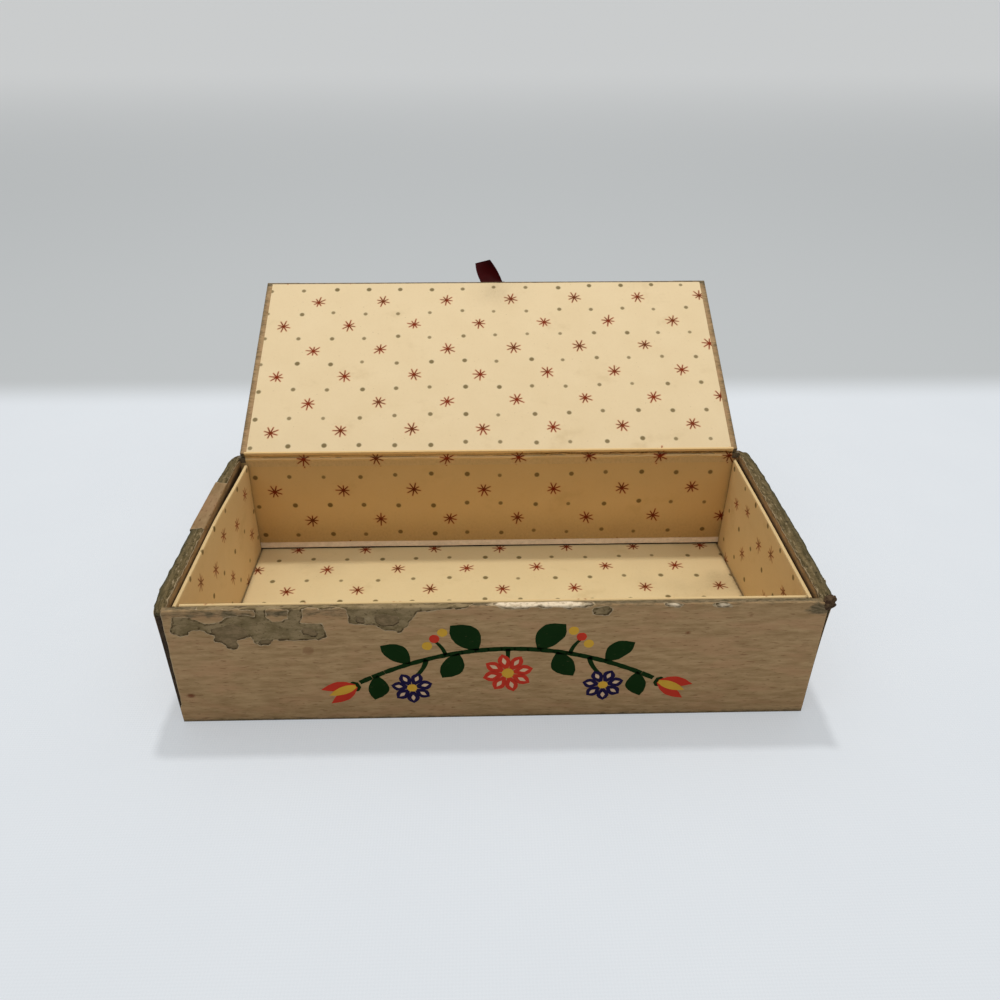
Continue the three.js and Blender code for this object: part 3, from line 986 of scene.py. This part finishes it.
def make_board(wall):
    """A side wall's grey board, with a swollen, fibrous top."""
    low, high = node_box(wall + "_wall_board")
    inner, outer = sorted(np.abs([low[0], high[0]]))
    corners = [(outer, RIM / 2), (outer, high[2]), (inner, high[2]), (inner, low[2]), (outer, low[2])]
    section = rounded_path(corners + [corners[0]], 0.45, 0.9, 5)[:-1]
    along = steps(-high[1], high[1], 0.6)[:, None]
    run = path_run(section)[None, :]
    frayed = smooth(RIM - 3, RIM - 0.5, section[:, 1])
    fray = (0.14 + 0.26 * ragged(along / 3, run * 1.3, 51)) * frayed
    middle = (inner + outer) / 2
    away = np.stack([section[:, 0] - middle, np.maximum(section[:, 1] - (RIM - 1.5), 0)], axis=-1)
    away = away / np.maximum(np.linalg.norm(away, axis=1), TINY)[:, None]
    share = np.clip((section[:, 0] - inner) / (outer - inner), 0, 1)
    height = section[:, 1] + fray * away[:, 1]
    out = section[:, 0] + fray * away[:, 0] + rim_shift(wall, along, share, height)
    rings = on_wall(wall, along, out, height - rim_drop(wall, along, height))
    places = np.stack(np.broadcast_arrays(along, run), axis=-1)
    dirt_and_shade = np.broadcast_to(smooth(0.55, 1.0, share), out.shape)
    piece = make_bar(wall + "_board", rings, worn_board_material, places, {"dirt_and_shade": dirt_and_shade})
    settle(piece, "tray", "greyboard", wall + "_wall_board")


make_cover("front", 0.55, front_tear)
make_front_ply()
make_cover("back", 1.5)
for side in ("left", "right"):
    make_board(side)
    make_cover(side, 0.7, side_tear(side))

# The torn board and paper, crumpled into a lump at the front's right top corner
LUMP_PLACE = np.array([99.2, -46.3, 41.6])
LUMP_HEIGHT = 5.2
LUMP_RADIUS = 2.0
LUMP_LEAN = 0.25


def make_lump():
    share = np.linspace(0.02, 0.98, 18)[:, None]
    turn = np.linspace(0, 2 * math.pi, 28, endpoint=False)[None, :]
    crumple = ragged(1.6 * np.cos(turn) + 4 * share, 1.6 * np.sin(turn), 91, 5)
    radius = LUMP_RADIUS * np.sin(math.pi * share) ** 0.55 * (1 + 0.30 * crumple)
    rise = LUMP_HEIGHT * share + 0.5 * crumple
    place = [radius * np.cos(turn) + LUMP_LEAN * rise, radius * np.sin(turn), rise]
    rings = np.stack(place, axis=-1) + LUMP_PLACE
    places = np.stack(np.broadcast_arrays(turn, rise), axis=-1)
    settle(make_bar("corner_lump", rings[::-1], lump_material, places, {}), "tray", "wood_grain_paper")


make_lump()

# Lining papers
LINING = 0.15
LINER_EDGING = 32.3
LINER_WAVE = 0.12
LINER_END_SHADE = (0.85, 0.5)
# The edging stands proud of the main paper, and folds over the card's top and down its back
EDGING_PROUD = 0.09
FOLD_RADIUS = 0.45
FOLD_CLEAR = 0.06
FOLD_DEPTH = 9.0
# Where each liner's two prints start: on its main paper and on its edging
LINER_PRINTS = {
    "left": ((-6.2, 30.0), (7.2, 35.0)),
    "right": ((4.1, 30.2), (19.7, 34.2)),
    "front": ((0.0, 20.0), (12.0, 27.0)),
}
# How far each liner card leans outwards: at its front end (foot, top) and at its back end (foot, top)
LINER_LEANS = {
    "left": ((0.0, 1.0), (0.0, -0.5)),
    "right": ((1.6, 1.1), (0.0, 0.9)),
    "front": ((0.0, 0.0), (0.0, 0.0)),
}
BACK_END = 45.0
# The side liners stop short of the back wall, and the front liner reaches the right one where it leans out
BACK_GAP = 0.6
FRONT_REACH = 0.9


def liner_lean(wall, depth, height):
    """How far a liner leans out at a depth in the box and a height."""
    up = np.clip(height / RIM, 0, 1)
    front, back = (foot + (top - foot) * up for foot, top in LINER_LEANS[wall])
    return back + (front - back) * smooth(0, BACK_END, BACK_END - depth)


def make_liner(wall):
    """A liner card, its main paper, and an edging paper folded over its top."""
    low, high = node_box(wall + "_liner_paper")
    card_low, card_high = node_box(wall + "_liner_card")
    across, lengthwise = (1, 0) if wall == "front" else (0, 1)
    inner = np.abs([low[across], high[across]]).min()
    card_inner, card_outer = sorted(np.abs([card_low[across], card_high[across]]))
    run_sign = WALLS[wall][0][lengthwise]
    end = high[lengthwise] + (FRONT_REACH if wall == "front" else -BACK_GAP)
    along = np.sort(edge_steps(low[lengthwise], end, 40) * run_sign)
    main_print, edging_print = LINER_PRINTS[wall]

    # Painted shade: darker towards the end that meets the next wall
    def dirt_and_shade(along_at, run):
        return fade(LINER_END_SHADE, end - along_at * run_sign)

    def add(name, slot, path, material, thickness, print_place, *nodes):
        def place(along_at, run):
            out, height = follow(path, run)
            wave = waves(LINER_WAVE, along_at, height, (30, 25), 61) * smooth(0, 10, height)
            lean = liner_lean(wall, along_at * WALLS[wall][0][1], height)
            return on_wall(wall, along_at, out - wave + lean, height)

        looks = {"flip": True, "print_place": print_place, "fields": {"dirt_and_shade": dirt_and_shade}}
        piece = make_sheet(wall + name, place, along, path_run(path), thickness, material, **looks)
        settle(piece, "tray", slot, *nodes)

    def upright(out, foot, top):
        heights = steps(foot, top, 2.5)
        return np.stack([np.full(heights.shape, out), heights], axis=-1)

    card_path = upright(card_inner, card_low[2], card_high[2])
    card_thick = card_outer - card_inner
    add("_liner_board", "greyboard", card_path, board_material, card_thick, None, wall + "_liner_card")
    main_path = upright(inner + EDGING_PROUD, low[2], LINER_EDGING + 1)
    printed = print_from(main_print, low[2], run_sign)
    add("_liner_lining", "star_paper", main_path, liner_material, LINING, printed, wall + "_liner_paper")
    top = high[2]
    outer = card_outer + FOLD_CLEAR
    fold = [(inner, LINER_EDGING), (inner, top), (outer, top), (outer, top - FOLD_DEPTH)]
    edging_path = rounded_path(fold, FOLD_RADIUS, 2.0, 5)
    printed = print_from(edging_print, LINER_EDGING, run_sign)
    add("_liner_edging", "star_paper", edging_path, liner_material, LINING, printed)


for wall in ("left", "right", "front"):
    make_liner(wall)

FLOOR_PRINT = (4.0, 15.7)
FLOOR_EDGE_SHADE = (0.75, 0.5)
FLOOR_GAP = 0.55
BACK_PRINT = (-2.7, 30.2)
BACK_END_SHADE = (0.85, 0.8)
FOOT_STRIP = (3.7, 5.7)
FOOT_FLARE = 0.75
LID_PRINT = (-2.9, 11.0)
LID_PRINT_TURN = math.radians(0.8)


def make_floor_lining():
    low, high = node_box("floor_lining_paper")

    def place(across, up):
        lift = waves(0.05, across, up, (40, 30), 71)
        lean = liner_lean("right", up, np.full(up.shape, high[2])) * smooth(50, high[0], across)
        return np.stack([across + lean, up, high[2] + lift], axis=-1)

    # Painted shade along the edges, where the floor meets the walls, and real grubby stains towards the sides
    def dirt_and_shade(across, up):
        aside = np.minimum(across - low[0], high[0] - across)
        edge = np.minimum(aside, np.minimum(up - low[1], high[1] - up))
        grubby = smooth(0.0, 0.8, ragged(across / 22, up / 16, 75)) * smooth(25, 90, np.abs(across))
        return fade(FLOOR_EDGE_SHADE, edge) + 0.22 * grubby

    piece = make_sheet(
        "floor_lining",
        place,
        edge_steps(low[0], high[0], 70),
        edge_steps(low[1], high[1] - FLOOR_GAP, 40),
        LINING,
        floor_lining_material,
        print_place=print_from(FLOOR_PRINT),
        fields={"dirt_and_shade": dirt_and_shade},
    )
    settle(piece, "tray", "star_paper", "floor_lining_paper")


def make_back_lining():
    """The lining of the back wall, and the unprinted strip along its foot."""
    low, high = node_box("back_lining_paper")
    face = low[1] - 0.1

    def wall_place(across, up):
        belly = waves(0.1, across, up, (35, 25), 72) * smooth(8, 14, up) * (1 - smooth(34, 40, up))
        return np.stack([across, face - belly, up], axis=-1)

    def foot_place(across, up):
        flare = FOOT_FLARE * (1 - smooth(*FOOT_STRIP, up)) + 0.14
        return np.stack([across, face - flare, up + 0.12 * ragged(across / 14, 0.0, 74)], axis=-1)

    # Painted shade: darker at both ends, in the corners, and towards the floor
    def dirt_and_shade(across, up):
        return np.maximum(fade(BACK_END_SHADE, high[0] - np.abs(across)), 0.28 * (1 - smooth(6, 24, up)))

    across = edge_steps(low[0], high[0], 90)
    piece = make_sheet(
        "back_lining",
        wall_place,
        across,
        steps(FOOT_STRIP[1] - 1, high[2], 1.5),
        LINING,
        back_lining_material,
        print_place=print_from(BACK_PRINT),
        fields={"dirt_and_shade": dirt_and_shade},
    )
    settle(piece, "tray", "star_paper", "back_lining_paper")
    foot = make_sheet("back_lining_foot", foot_place, across, steps(*FOOT_STRIP, 0.4), LINING, foot_material)
    settle(foot, "tray", "star_paper")


def lid_print(across, up):
    """The lid's print is turned a little against the lid."""
    x = across - LID_PRINT[0]
    y = up - LID_PRINT[1]
    cosine = math.cos(LID_PRINT_TURN)
    sine = math.sin(LID_PRINT_TURN)
    return x * cosine + y * sine, y * cosine - x * sine


def make_lid_lining():
    low, high = lid_box("lid_lining_paper")

    def place(across, up):
        return on_lid(across, up, high[2] + waves(0.08, across, up, (45, 35), 73) * smooth(2, 12, up))

    def dirt_and_shade(across, up):
        """A faint stain where the ribbon is tucked in."""
        stain = np.exp(-np.hypot((across - 4) / 10, (up - high[1] + 4) / 8) ** 2)
        return 0.13 * stain * (1 + ragged(across / 6, up / 6, 76))

    piece = make_sheet(
        "lid_lining",
        place,
        steps(low[0], high[0], 2.5),
        steps(low[1] + 0.4, high[1] - 0.5, 2.5),
        LINING,
        lid_lining_material,
        print_place=lid_print,
        fields={"dirt_and_shade": dirt_and_shade},
    )
    settle(piece, "lid", "star_paper", "lid_lining_paper")


make_floor_lining()
make_back_lining()
make_lid_lining()

# Papers that cross the hinge
HINGE_PRINT = (-3.1, 30.9)
HINGE_SHADE = 0.28
HINGE_PROUD = 0.04
HINGE_STEP = 0.8
HINGE_RUB = (1.0, 2.2)


def make_hinge_sheet(name, slot, half, path, start, end, place, material, **looks):
    """A paper over the hinge, with a section of (depth, height). start and end are not used."""
    piece = make_sheet(name, place, steps(-half, half, HINGE_STEP), path_run(path), LINING, material, **looks)
    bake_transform(piece)
    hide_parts(name + "_strip")


def beside_lid(up, inward):
    """A place's (depth, height), from a place on the lid."""
    return tuple((HINGE + up * LID_UP + inward * LID_IN)[1:])


def make_hinge_lining():
    """The lining's creased bend: a lip on the wall's top, a crease darkened with painted shade and a flank
    under the lid's edge.
    """
    wall_face = node_box("back_lining_paper")[0][1]
    lid_face = lid_box("lid_lining_paper")[1][2]
    crease = np.array([HINGE[1] + 0.1, HINGE[2] - 0.35])
    corners = [
        (wall_face - 0.14, 41.4),
        (wall_face - 0.16, 44.0),
        (wall_face - 0.35, crease[1] - 0.5),
        crease,
        beside_lid(0.0, lid_face - 0.6),
        beside_lid(0.2, lid_face + 0.08),
        beside_lid(0.9, lid_face + 0.08),
    ]
    path = rounded_path(corners, 0.2, 0.35, 4)
    crease_run = path_run(path)[np.argmin(np.hypot(*(path - crease).T))]

    def roughness(across):
        return 0.5 + 0.5 * smooth(0, 25, across)

    def place(across, run):
        depth, height = follow(path, run)
        near = np.exp(-((height - crease[1]) / 1.2) ** 2)
        crumple = roughness(across) ** 2 * ragged(across / 4.5, run / 1.3, 81)
        slide = 0.15 * ragged(across / 20, 0.0, 83)
        shifted = height + near * (slide + 0.5 * crumple)
        return np.stack([across, depth + 0.45 * near * crumple, shifted], axis=-1)

    # Painted shade: a dark line in the crease, and the strip's foot on the wall darkened to the back wall's
    # shade
    def dirt_and_shade(across, run):
        drift = 0.3 * ragged(across / 8, 0.0, 84)
        line = roughness(across) * np.exp(-((run - crease_run - 0.9 - drift) / 0.55) ** 2)
        return np.maximum(line, HINGE_SHADE * (1 - smooth(2.2, 3.4, run)))

    make_hinge_sheet(
        "hinge_lining",
        "star_paper",
        node_box("hinge_lining_strip")[1][0] + 0.8,
        path,
        HINGE + np.array([0, 0, -0.4]),
        HINGE + np.array([0, 0, 0.4]),
        place,
        hinge_lining_material,
        print_place=print_from(HINGE_PRINT, path[0, 1]),
        fields={"dirt_and_shade": dirt_and_shade},
    )


def make_hinge_cover():
    """The outer paper's bend: from the back wall over its rim, and back from a sharp crease along the lid."""
    lid_face = lid_box("lid_cover_paper")[0][2] - HINGE_PROUD
    panel = lid_box("hinge_cover_strip")[1][1]
    half = node_box("hinge_cover_strip")[1][0]
    back = HALF_DEPTH + HINGE_PROUD
    top = RIM + HINGE_PROUD
    crease = np.array([0, HINGE[1] + 0.15, top])
    lid_places = [beside_lid(0.5, lid_face), beside_lid(panel, lid_face)]
    path = rounded_path([(back, RIM - 4.0), (back, top), crease[1:], *lid_places], 0.03, 0.6, 4)
    half_open = (math.pi - OPEN_ANGLE) / 2
    across_bend = np.array([0, -math.sin(half_open), math.cos(half_open)])
    make_hinge_sheet(
        "hinge_cover",
        "wood_grain_paper",
        half,
        path,
        crease - 0.05 * across_bend,
        crease + 0.05 * across_bend,
        lambda across, run: np.stack([across, *follow(path, run)], axis=-1),
        wood_material,
        flip=True,
        fields={"wear_and_shade": lambda across, run: fade(HINGE_RUB, half - np.abs(across))},
    )


make_hinge_lining()
make_hinge_cover()

# Lid cover and ribbon
LID_TURN_IN = 14.0
LID_EDGE_RADIUS = 0.4
LID_END_RUB = (0.7, 2.2)
LID_TOP_RUB = (1.5, 1.4)
FLAP_PROUD = 0.03


def make_lid_cover():
    """The lid's outer paper: one sheet turned in at both ends, and a flap over the free edge."""
    low, high = lid_box("lid_cover_paper")
    half, top, inner = high
    outer = low[2]
    left_end = [(-half + LID_TURN_IN, inner), (-half, inner), (-half, outer)]
    right_end = [(-across, inward) for across, inward in reversed(left_end)]
    wrap_path = rounded_path(left_end + right_end, LID_EDGE_RADIUS, 2.0, 5)
    flap_corners = [(top - 0.9, outer), (top, outer), (top, inner), (top - LID_TURN_IN, inner)]
    flap_path = rounded_path(flap_corners, LID_EDGE_RADIUS, 2.0, 5)

    def rubbed(across, up):
        """How rubbed the print is, most at the lid's ends and its free edge."""
        from_end = np.abs(np.abs(across) - half)
        return np.maximum(fade(LID_END_RUB, from_end), fade(LID_TOP_RUB, np.abs(up - top)))

    def wrap_place(up, run):
        across, inward = follow(wrap_path, run)
        return on_lid(across, up, inward)

    def flap_place(across, run):
        up, inward = follow(flap_path, run)
        proud = FLAP_PROUD * np.sign(inward - (outer + inner) / 2)
        return on_lid(across, up + FLAP_PROUD, inward + proud)

    wrap = make_sheet(
        "lid_cover",
        wrap_place,
        steps(low[1], top - 0.05, 2.0),
        path_run(wrap_path),
        PAPER,
        wood_material,
        print_place=lambda up, run: (follow(wrap_path, run)[0], up),
        fields={"wear_and_shade": lambda up, run: rubbed(follow(wrap_path, run)[0], up)},
    )
    settle(wrap, "lid", "wood_grain_paper", "lid_cover_paper")
    flap = make_sheet(
        "lid_cover_flap",
        flap_place,
        steps(-half + 0.15, half - 0.15, 2.0),
        path_run(flap_path),
        PAPER,
        wood_material,
        flip=True,
        print_place=lambda across, run: (across, follow(flap_path, run)[0]),
        fields={"wear_and_shade": lambda across, run: rubbed(across, follow(flap_path, run)[0])},
    )
    settle(flap, "lid", "wood_grain_paper")


RIBBON_WIDTH = 10.0
RIBBON_THICK = 0.2
RIBBON_SHIFT = 1.1
TAB_SPARE = 2.3
TAB_LEAN = 4.6
TAB_TWIST = math.radians(50)
TAB_CUT = 5.9
TAB_CLEAR = 3.0


def make_ribbon():
    """The satin pull: tucked under the lining, round the lid's edge and out as a leaning, twisted tab."""
    low, high = lid_box("ribbon_pull")
    edge = lid_box("lid_cover_paper")[1][1] + 0.2
    tuck = high[2] - 0.02
    level = low[2] + RIBBON_THICK / 2
    middle = (low[0] + high[0]) / 2 + RIBBON_SHIFT
    tip = high[1] + TAB_SPARE
    path = rounded_path([(low[1], tuck), (edge, tuck), (edge, level), (tip, level)], 0.2, 0.6, 4)
    run_at = path_run(path)

    def place(aside, run):
        up, inward = follow(path, run)
        out = np.clip((up - edge) / (tip - edge), 0, 1)
        twist = TAB_TWIST * np.clip((up - edge - TAB_CLEAR) / (tip - edge - TAB_CLEAR), 0, 1)
        across = middle + aside * np.cos(twist) - TAB_LEAN * out
        cut = TAB_CUT * out * aside / RIBBON_WIDTH
        crinkle = 0.10 * ragged(aside / 4, run / 5, 95) * out
        return on_lid(across, up - cut, inward + aside * np.sin(twist) + crinkle)

    across = steps(-RIBBON_WIDTH / 2, RIBBON_WIDTH / 2, 0.8)
    piece = make_sheet("ribbon_tab", place, across, run_at, RIBBON_THICK, ribbon_material)
    settle(piece, "lid", "satin_ribbon", "ribbon_pull")


make_lid_cover()
make_ribbon()

# The garland printed on the front, drawn in (along, up) on the front's face
GARLAND_MIDDLE = 4.0
ARCH_TOP = 29.0
ARCH_DROP = 13.0
ARCH_REACH = 46.0
STEM_STEP = 4.0
STROKE_POINTS = 14
INKS = {
    "green": (0.007, 0.026, 0.005),
    "red": (0.56, 0.042, 0.022),
    "navy": (0.016, 0.011, 0.048),
    "ochre": (0.66, 0.37, 0.045),
    "cream": (0.68, 0.47, 0.29),
}
# How far each ink stands off the paper, and how far its foot lies in it
INK_LIFTS = {"green": 0.02, "red": 0.03, "navy": 0.035, "ochre": 0.045, "cream": 0.055}
INK_FOOT = 0.05
# Leaves and berries of one half: (away from the middle, angle, length, width) and (away, height, ink)
LEAVES = [(9.0, 50, 13.0, 8.4), (15.0, -62, 11.5, 7.4), (30.0, 40, 11.5, 7.0), (40.5, -82, 10.5, 6.4)]
BERRIES = [(22.3, 33.4, "red"), (19.8, 35.8, "ochre"), (24.6, 30.6, "ochre")]
BERRY_RADIUS = 1.6
# Half the width of each shape, at even places along it
LEAF_SHAPE = (0.0, 0.55, 0.88, 1.0, 0.92, 0.62, 0.0)
PETAL_SHAPE = (0.25, 0.6, 0.9, 1.0, 0.75, 0.0)
STREAK_SHAPE = (0.0, 0.7, 1.0, 0.6, 0.0)
BUD_SHAPE = (0.35, 0.9, 1.0, 0.7, 0.0)
CUP_SHAPE = (0.10, 0.2, 0.16, 0.0)
prints = {name: [] for name in INKS}


def heading(angle):
    turn = math.radians(angle)
    return np.array([math.cos(turn), math.sin(turn)])


def brush(tint, start, angle, length, shape, width=1.0, bend=0.0):
    """Adds one brush stroke: from start, at an angle in degrees, with its shape's half widths times width."""
    share = np.linspace(0, 1, STROKE_POINTS)
    ahead = heading(angle)
    aside = np.array([-ahead[1], ahead[0]])
    wide = np.interp(share, np.linspace(0, 1, len(shape)), np.array(shape) * width)
    wobble = 1 + 0.10 * ragged(share * 4, share * 0 + angle / 40, len(prints[tint]))
    bow = np.outer(bend * np.sin(math.pi * share), aside)
    middle = np.array(start) + np.outer(share * length, ahead) + bow
    reach = np.outer(np.maximum(wide * wobble, 0.04), aside)
    prints[tint].append((middle - reach, middle + reach))


def disc(tint, middle, radius):
    turns = np.linspace(0, math.pi, 9)
    shape = np.interp(np.linspace(0, 1, STROKE_POINTS), (1 - np.cos(turns)) / 2, np.sin(turns))
    brush(tint, (middle[0] - radius, middle[1]), 0, 2 * radius, shape, radius)


def daisy(tint, middle, radius, petals):
    """A round flower: petals, a cream streak on each, and an ochre heart."""
    wide = 0.92 * math.pi * radius / petals * 0.72
    for count in range(petals):
        angle = 360 / petals * (count + 0.3)
        ahead = heading(angle)
        brush(tint, middle + 0.22 * radius * ahead, angle, 0.78 * radius, PETAL_SHAPE, wide)
        brush("cream", middle + 0.46 * radius * ahead, angle, 0.36 * radius, STREAK_SHAPE, wide * 0.34)
    disc("ochre", middle, 0.24 * radius)


def bud(middle, angle, length):
    """A tulip bud: two outer petals, a middle one and a green cup."""
    for side in (-1, 1):
        brush("red", middle, angle + 17 * side, length, BUD_SHAPE, 0.19 * length, 0.5 * side)
    brush("ochre", middle, angle, 0.86 * length, BUD_SHAPE, 0.15 * length)
    cup = np.array(middle) - 0.12 * length * heading(angle)
    brush("green", cup, angle, 0.36 * length, CUP_SHAPE, length)


def arch(along):
    """The height of the garland's main stem."""
    return ARCH_TOP - ARCH_DROP * ((along - GARLAND_MIDDLE) / ARCH_REACH) ** 2


def draw_half(side):
    """One half of the garland, which mirrors the other."""

    def at_stem(away):
        along = GARLAND_MIDDLE + side * away
        return along, arch(along)

    def turned(angle):
        return angle if side > 0 else 180 - angle

    daisy("navy", np.array([at_stem(30.0)[0], 13.4]), 6.6, 7)
    brush("green", at_stem(25.0), turned(-62), 8.0, (0.8, 0.6), bend=-0.6 * side)
    bud((at_stem(47.5)[0], 14.5), turned(-24), 11.0)
    brush("green", at_stem(19.0), turned(62), 6.0, (0.7, 0.5), bend=0.4 * side)
    for away, angle, length, width in LEAVES:
        bend = math.copysign(0.9, angle) * side
        brush("green", at_stem(away), turned(angle), length, LEAF_SHAPE, width / 2, bend)
    for away, height, tint in BERRIES:
        disc(tint, (at_stem(away)[0], height), BERRY_RADIUS)


def draw_garland():
    for along in np.arange(-42.0, 50.0, STEM_STEP):
        angle = math.degrees(math.atan2(arch(along + STEM_STEP) - arch(along), STEM_STEP))
        brush("green", (along - 0.15, arch(along)), angle, STEM_STEP + 0.4, (0.8, 0.9, 0.8))
    daisy("red", np.array([GARLAND_MIDDLE, 19.0]), 8.0, 8)
    brush("green", (GARLAND_MIDDLE, ARCH_TOP), -90, 4.0, (0.8, 0.6))
    for side in (-1, 1):
        draw_half(side)


def make_prints():
    """Turns the brush strokes into thin solids, one object for each ink."""
    for tint, strokes in prints.items():
        vertices, faces, places = [], [], []
        out = HALF_DEPTH + np.array([1, 1, 0, 0]) * INK_LIFTS[tint] - np.array([0, 0, 1, 1]) * INK_FOOT
        for left, right in strokes:
            faces += bar_faces(len(left), 4, len(vertices))
            edges = np.stack([left, right, right, left], axis=1)
            vertices += on_wall("front", edges[..., 0], out, edges[..., 1]).reshape(-1, 3).tolist()
            places += edges.reshape(-1, 2).tolist()
        piece = make_object("garland_" + tint, vertices, faces, ink(tint + "_ink", INKS[tint]), places, {})
        settle(piece, "tray", "wood_grain_paper")


draw_garland()
make_prints()

# Materials of the CAD nodes that stay
for node in ("bottom_board", "back_wall_board", "floor_card", "lid_board"):
    dress(node, board_material)
dress("front_wall_board", torn_board_material)
for corner in ("front_left", "front_right", "back_left", "back_right"):
    dress(corner + "_corner_stay", tape_material)
dress("bottom_paper", bottom_material)

# Stage, light and camera
FLOOR_REACH = 30.0
floor_mesh = bpy.data.meshes.new("floor")
floor_corners = [(FLOOR_REACH * x, FLOOR_REACH * y, 0) for x, y in ((-1, -1), (1, -1), (1, 1), (-1, 1))]
floor_mesh.from_pydata(floor_corners, [], [(0, 1, 2, 3)])
floor_mesh.materials.append(pale_floor("pale_floor"))
floor = add_object("floor", floor_mesh)

# The sky is brightest overhead, and plain pale where the camera sees it
SKY_RISE = (0.3, 1.0)
SKY_LEVELS = (0.14, 1.03)
SKY_SEEN = 0.6
SKY_TINT = (0.97, 0.99, 1.0)


def make_sky():
    world = bpy.data.worlds.new("studio")
    bpy.context.scene.world = world
    sky = Nodes(world)
    height = sky.wire("TexCoord", {}, "Generated", True).parts()[2]
    rays = sky.node("LightPath", {})
    by_camera, by_gloss = (Wire(sky, rays.outputs[name]) for name in ("Is Camera Ray", "Is Glossy Ray"))
    seen = by_camera.do("MAXIMUM", by_gloss)
    level = height.rise(*SKY_RISE, *SKY_LEVELS)
    strength = sky.wire("Mix", {"Factor": seen, "A": level, "B": SKY_SEEN}, "Result")
    background = sky.nodes["Background"]
    sky.feed(background.inputs["Color"], SKY_TINT)
    sky.feed(background.inputs["Strength"], strength)


make_sky()

KEY_TILT = math.radians(15.0)
KEY_DISTANCE = 1.1
KEY_SIZE = 0.08
KEY_LEVEL = 0.36
key_data = bpy.data.lights.new("key", "AREA")
key_data.shape = "DISK"
key_data.size = KEY_SIZE
key_data.energy = KEY_LEVEL * math.pi ** 2 * KEY_DISTANCE ** 2 / math.cos(KEY_TILT)
key = add_object("key", key_data)
key.location = Vector((0, math.sin(KEY_TILT), math.cos(KEY_TILT))) * KEY_DISTANCE
key.rotation_mode = "QUATERNION"
key.rotation_quaternion = key.location.to_track_quat("Z", "Y")

FOCAL_PIXELS = 830.0
PICTURE_PIXELS = 1000.0
SENSOR = 36.0
CAMERA_PLACE = np.array([-3.42, -238.51, 200.86])
YAW, PITCH, ROLL = (math.radians(angle) for angle in (1.463, 31.797, 0.114))
camera_data = bpy.data.cameras.new("camera")
camera_data.sensor_width = SENSOR
camera_data.lens = FOCAL_PIXELS / PICTURE_PIXELS * SENSOR
camera_data.clip_start = 0.01
camera_data.clip_end = 100
camera = add_object("camera", camera_data)
forward = np.array([math.sin(YAW) * math.cos(PITCH), math.cos(YAW) * math.cos(PITCH), -math.sin(PITCH)])
level = np.array([math.cos(YAW), -math.sin(YAW), 0])
upright = np.cross(level, forward)
right = math.cos(ROLL) * level + math.sin(ROLL) * upright
above = math.cos(ROLL) * upright - math.sin(ROLL) * level
turned = Matrix((right, above, -forward)).transposed().to_4x4()
camera.matrix_world = Matrix.Translation(Vector(CAMERA_PLACE * MM)) @ turned
bpy.context.scene.camera = camera
bpy.context.scene.view_settings.view_transform = "Standard"
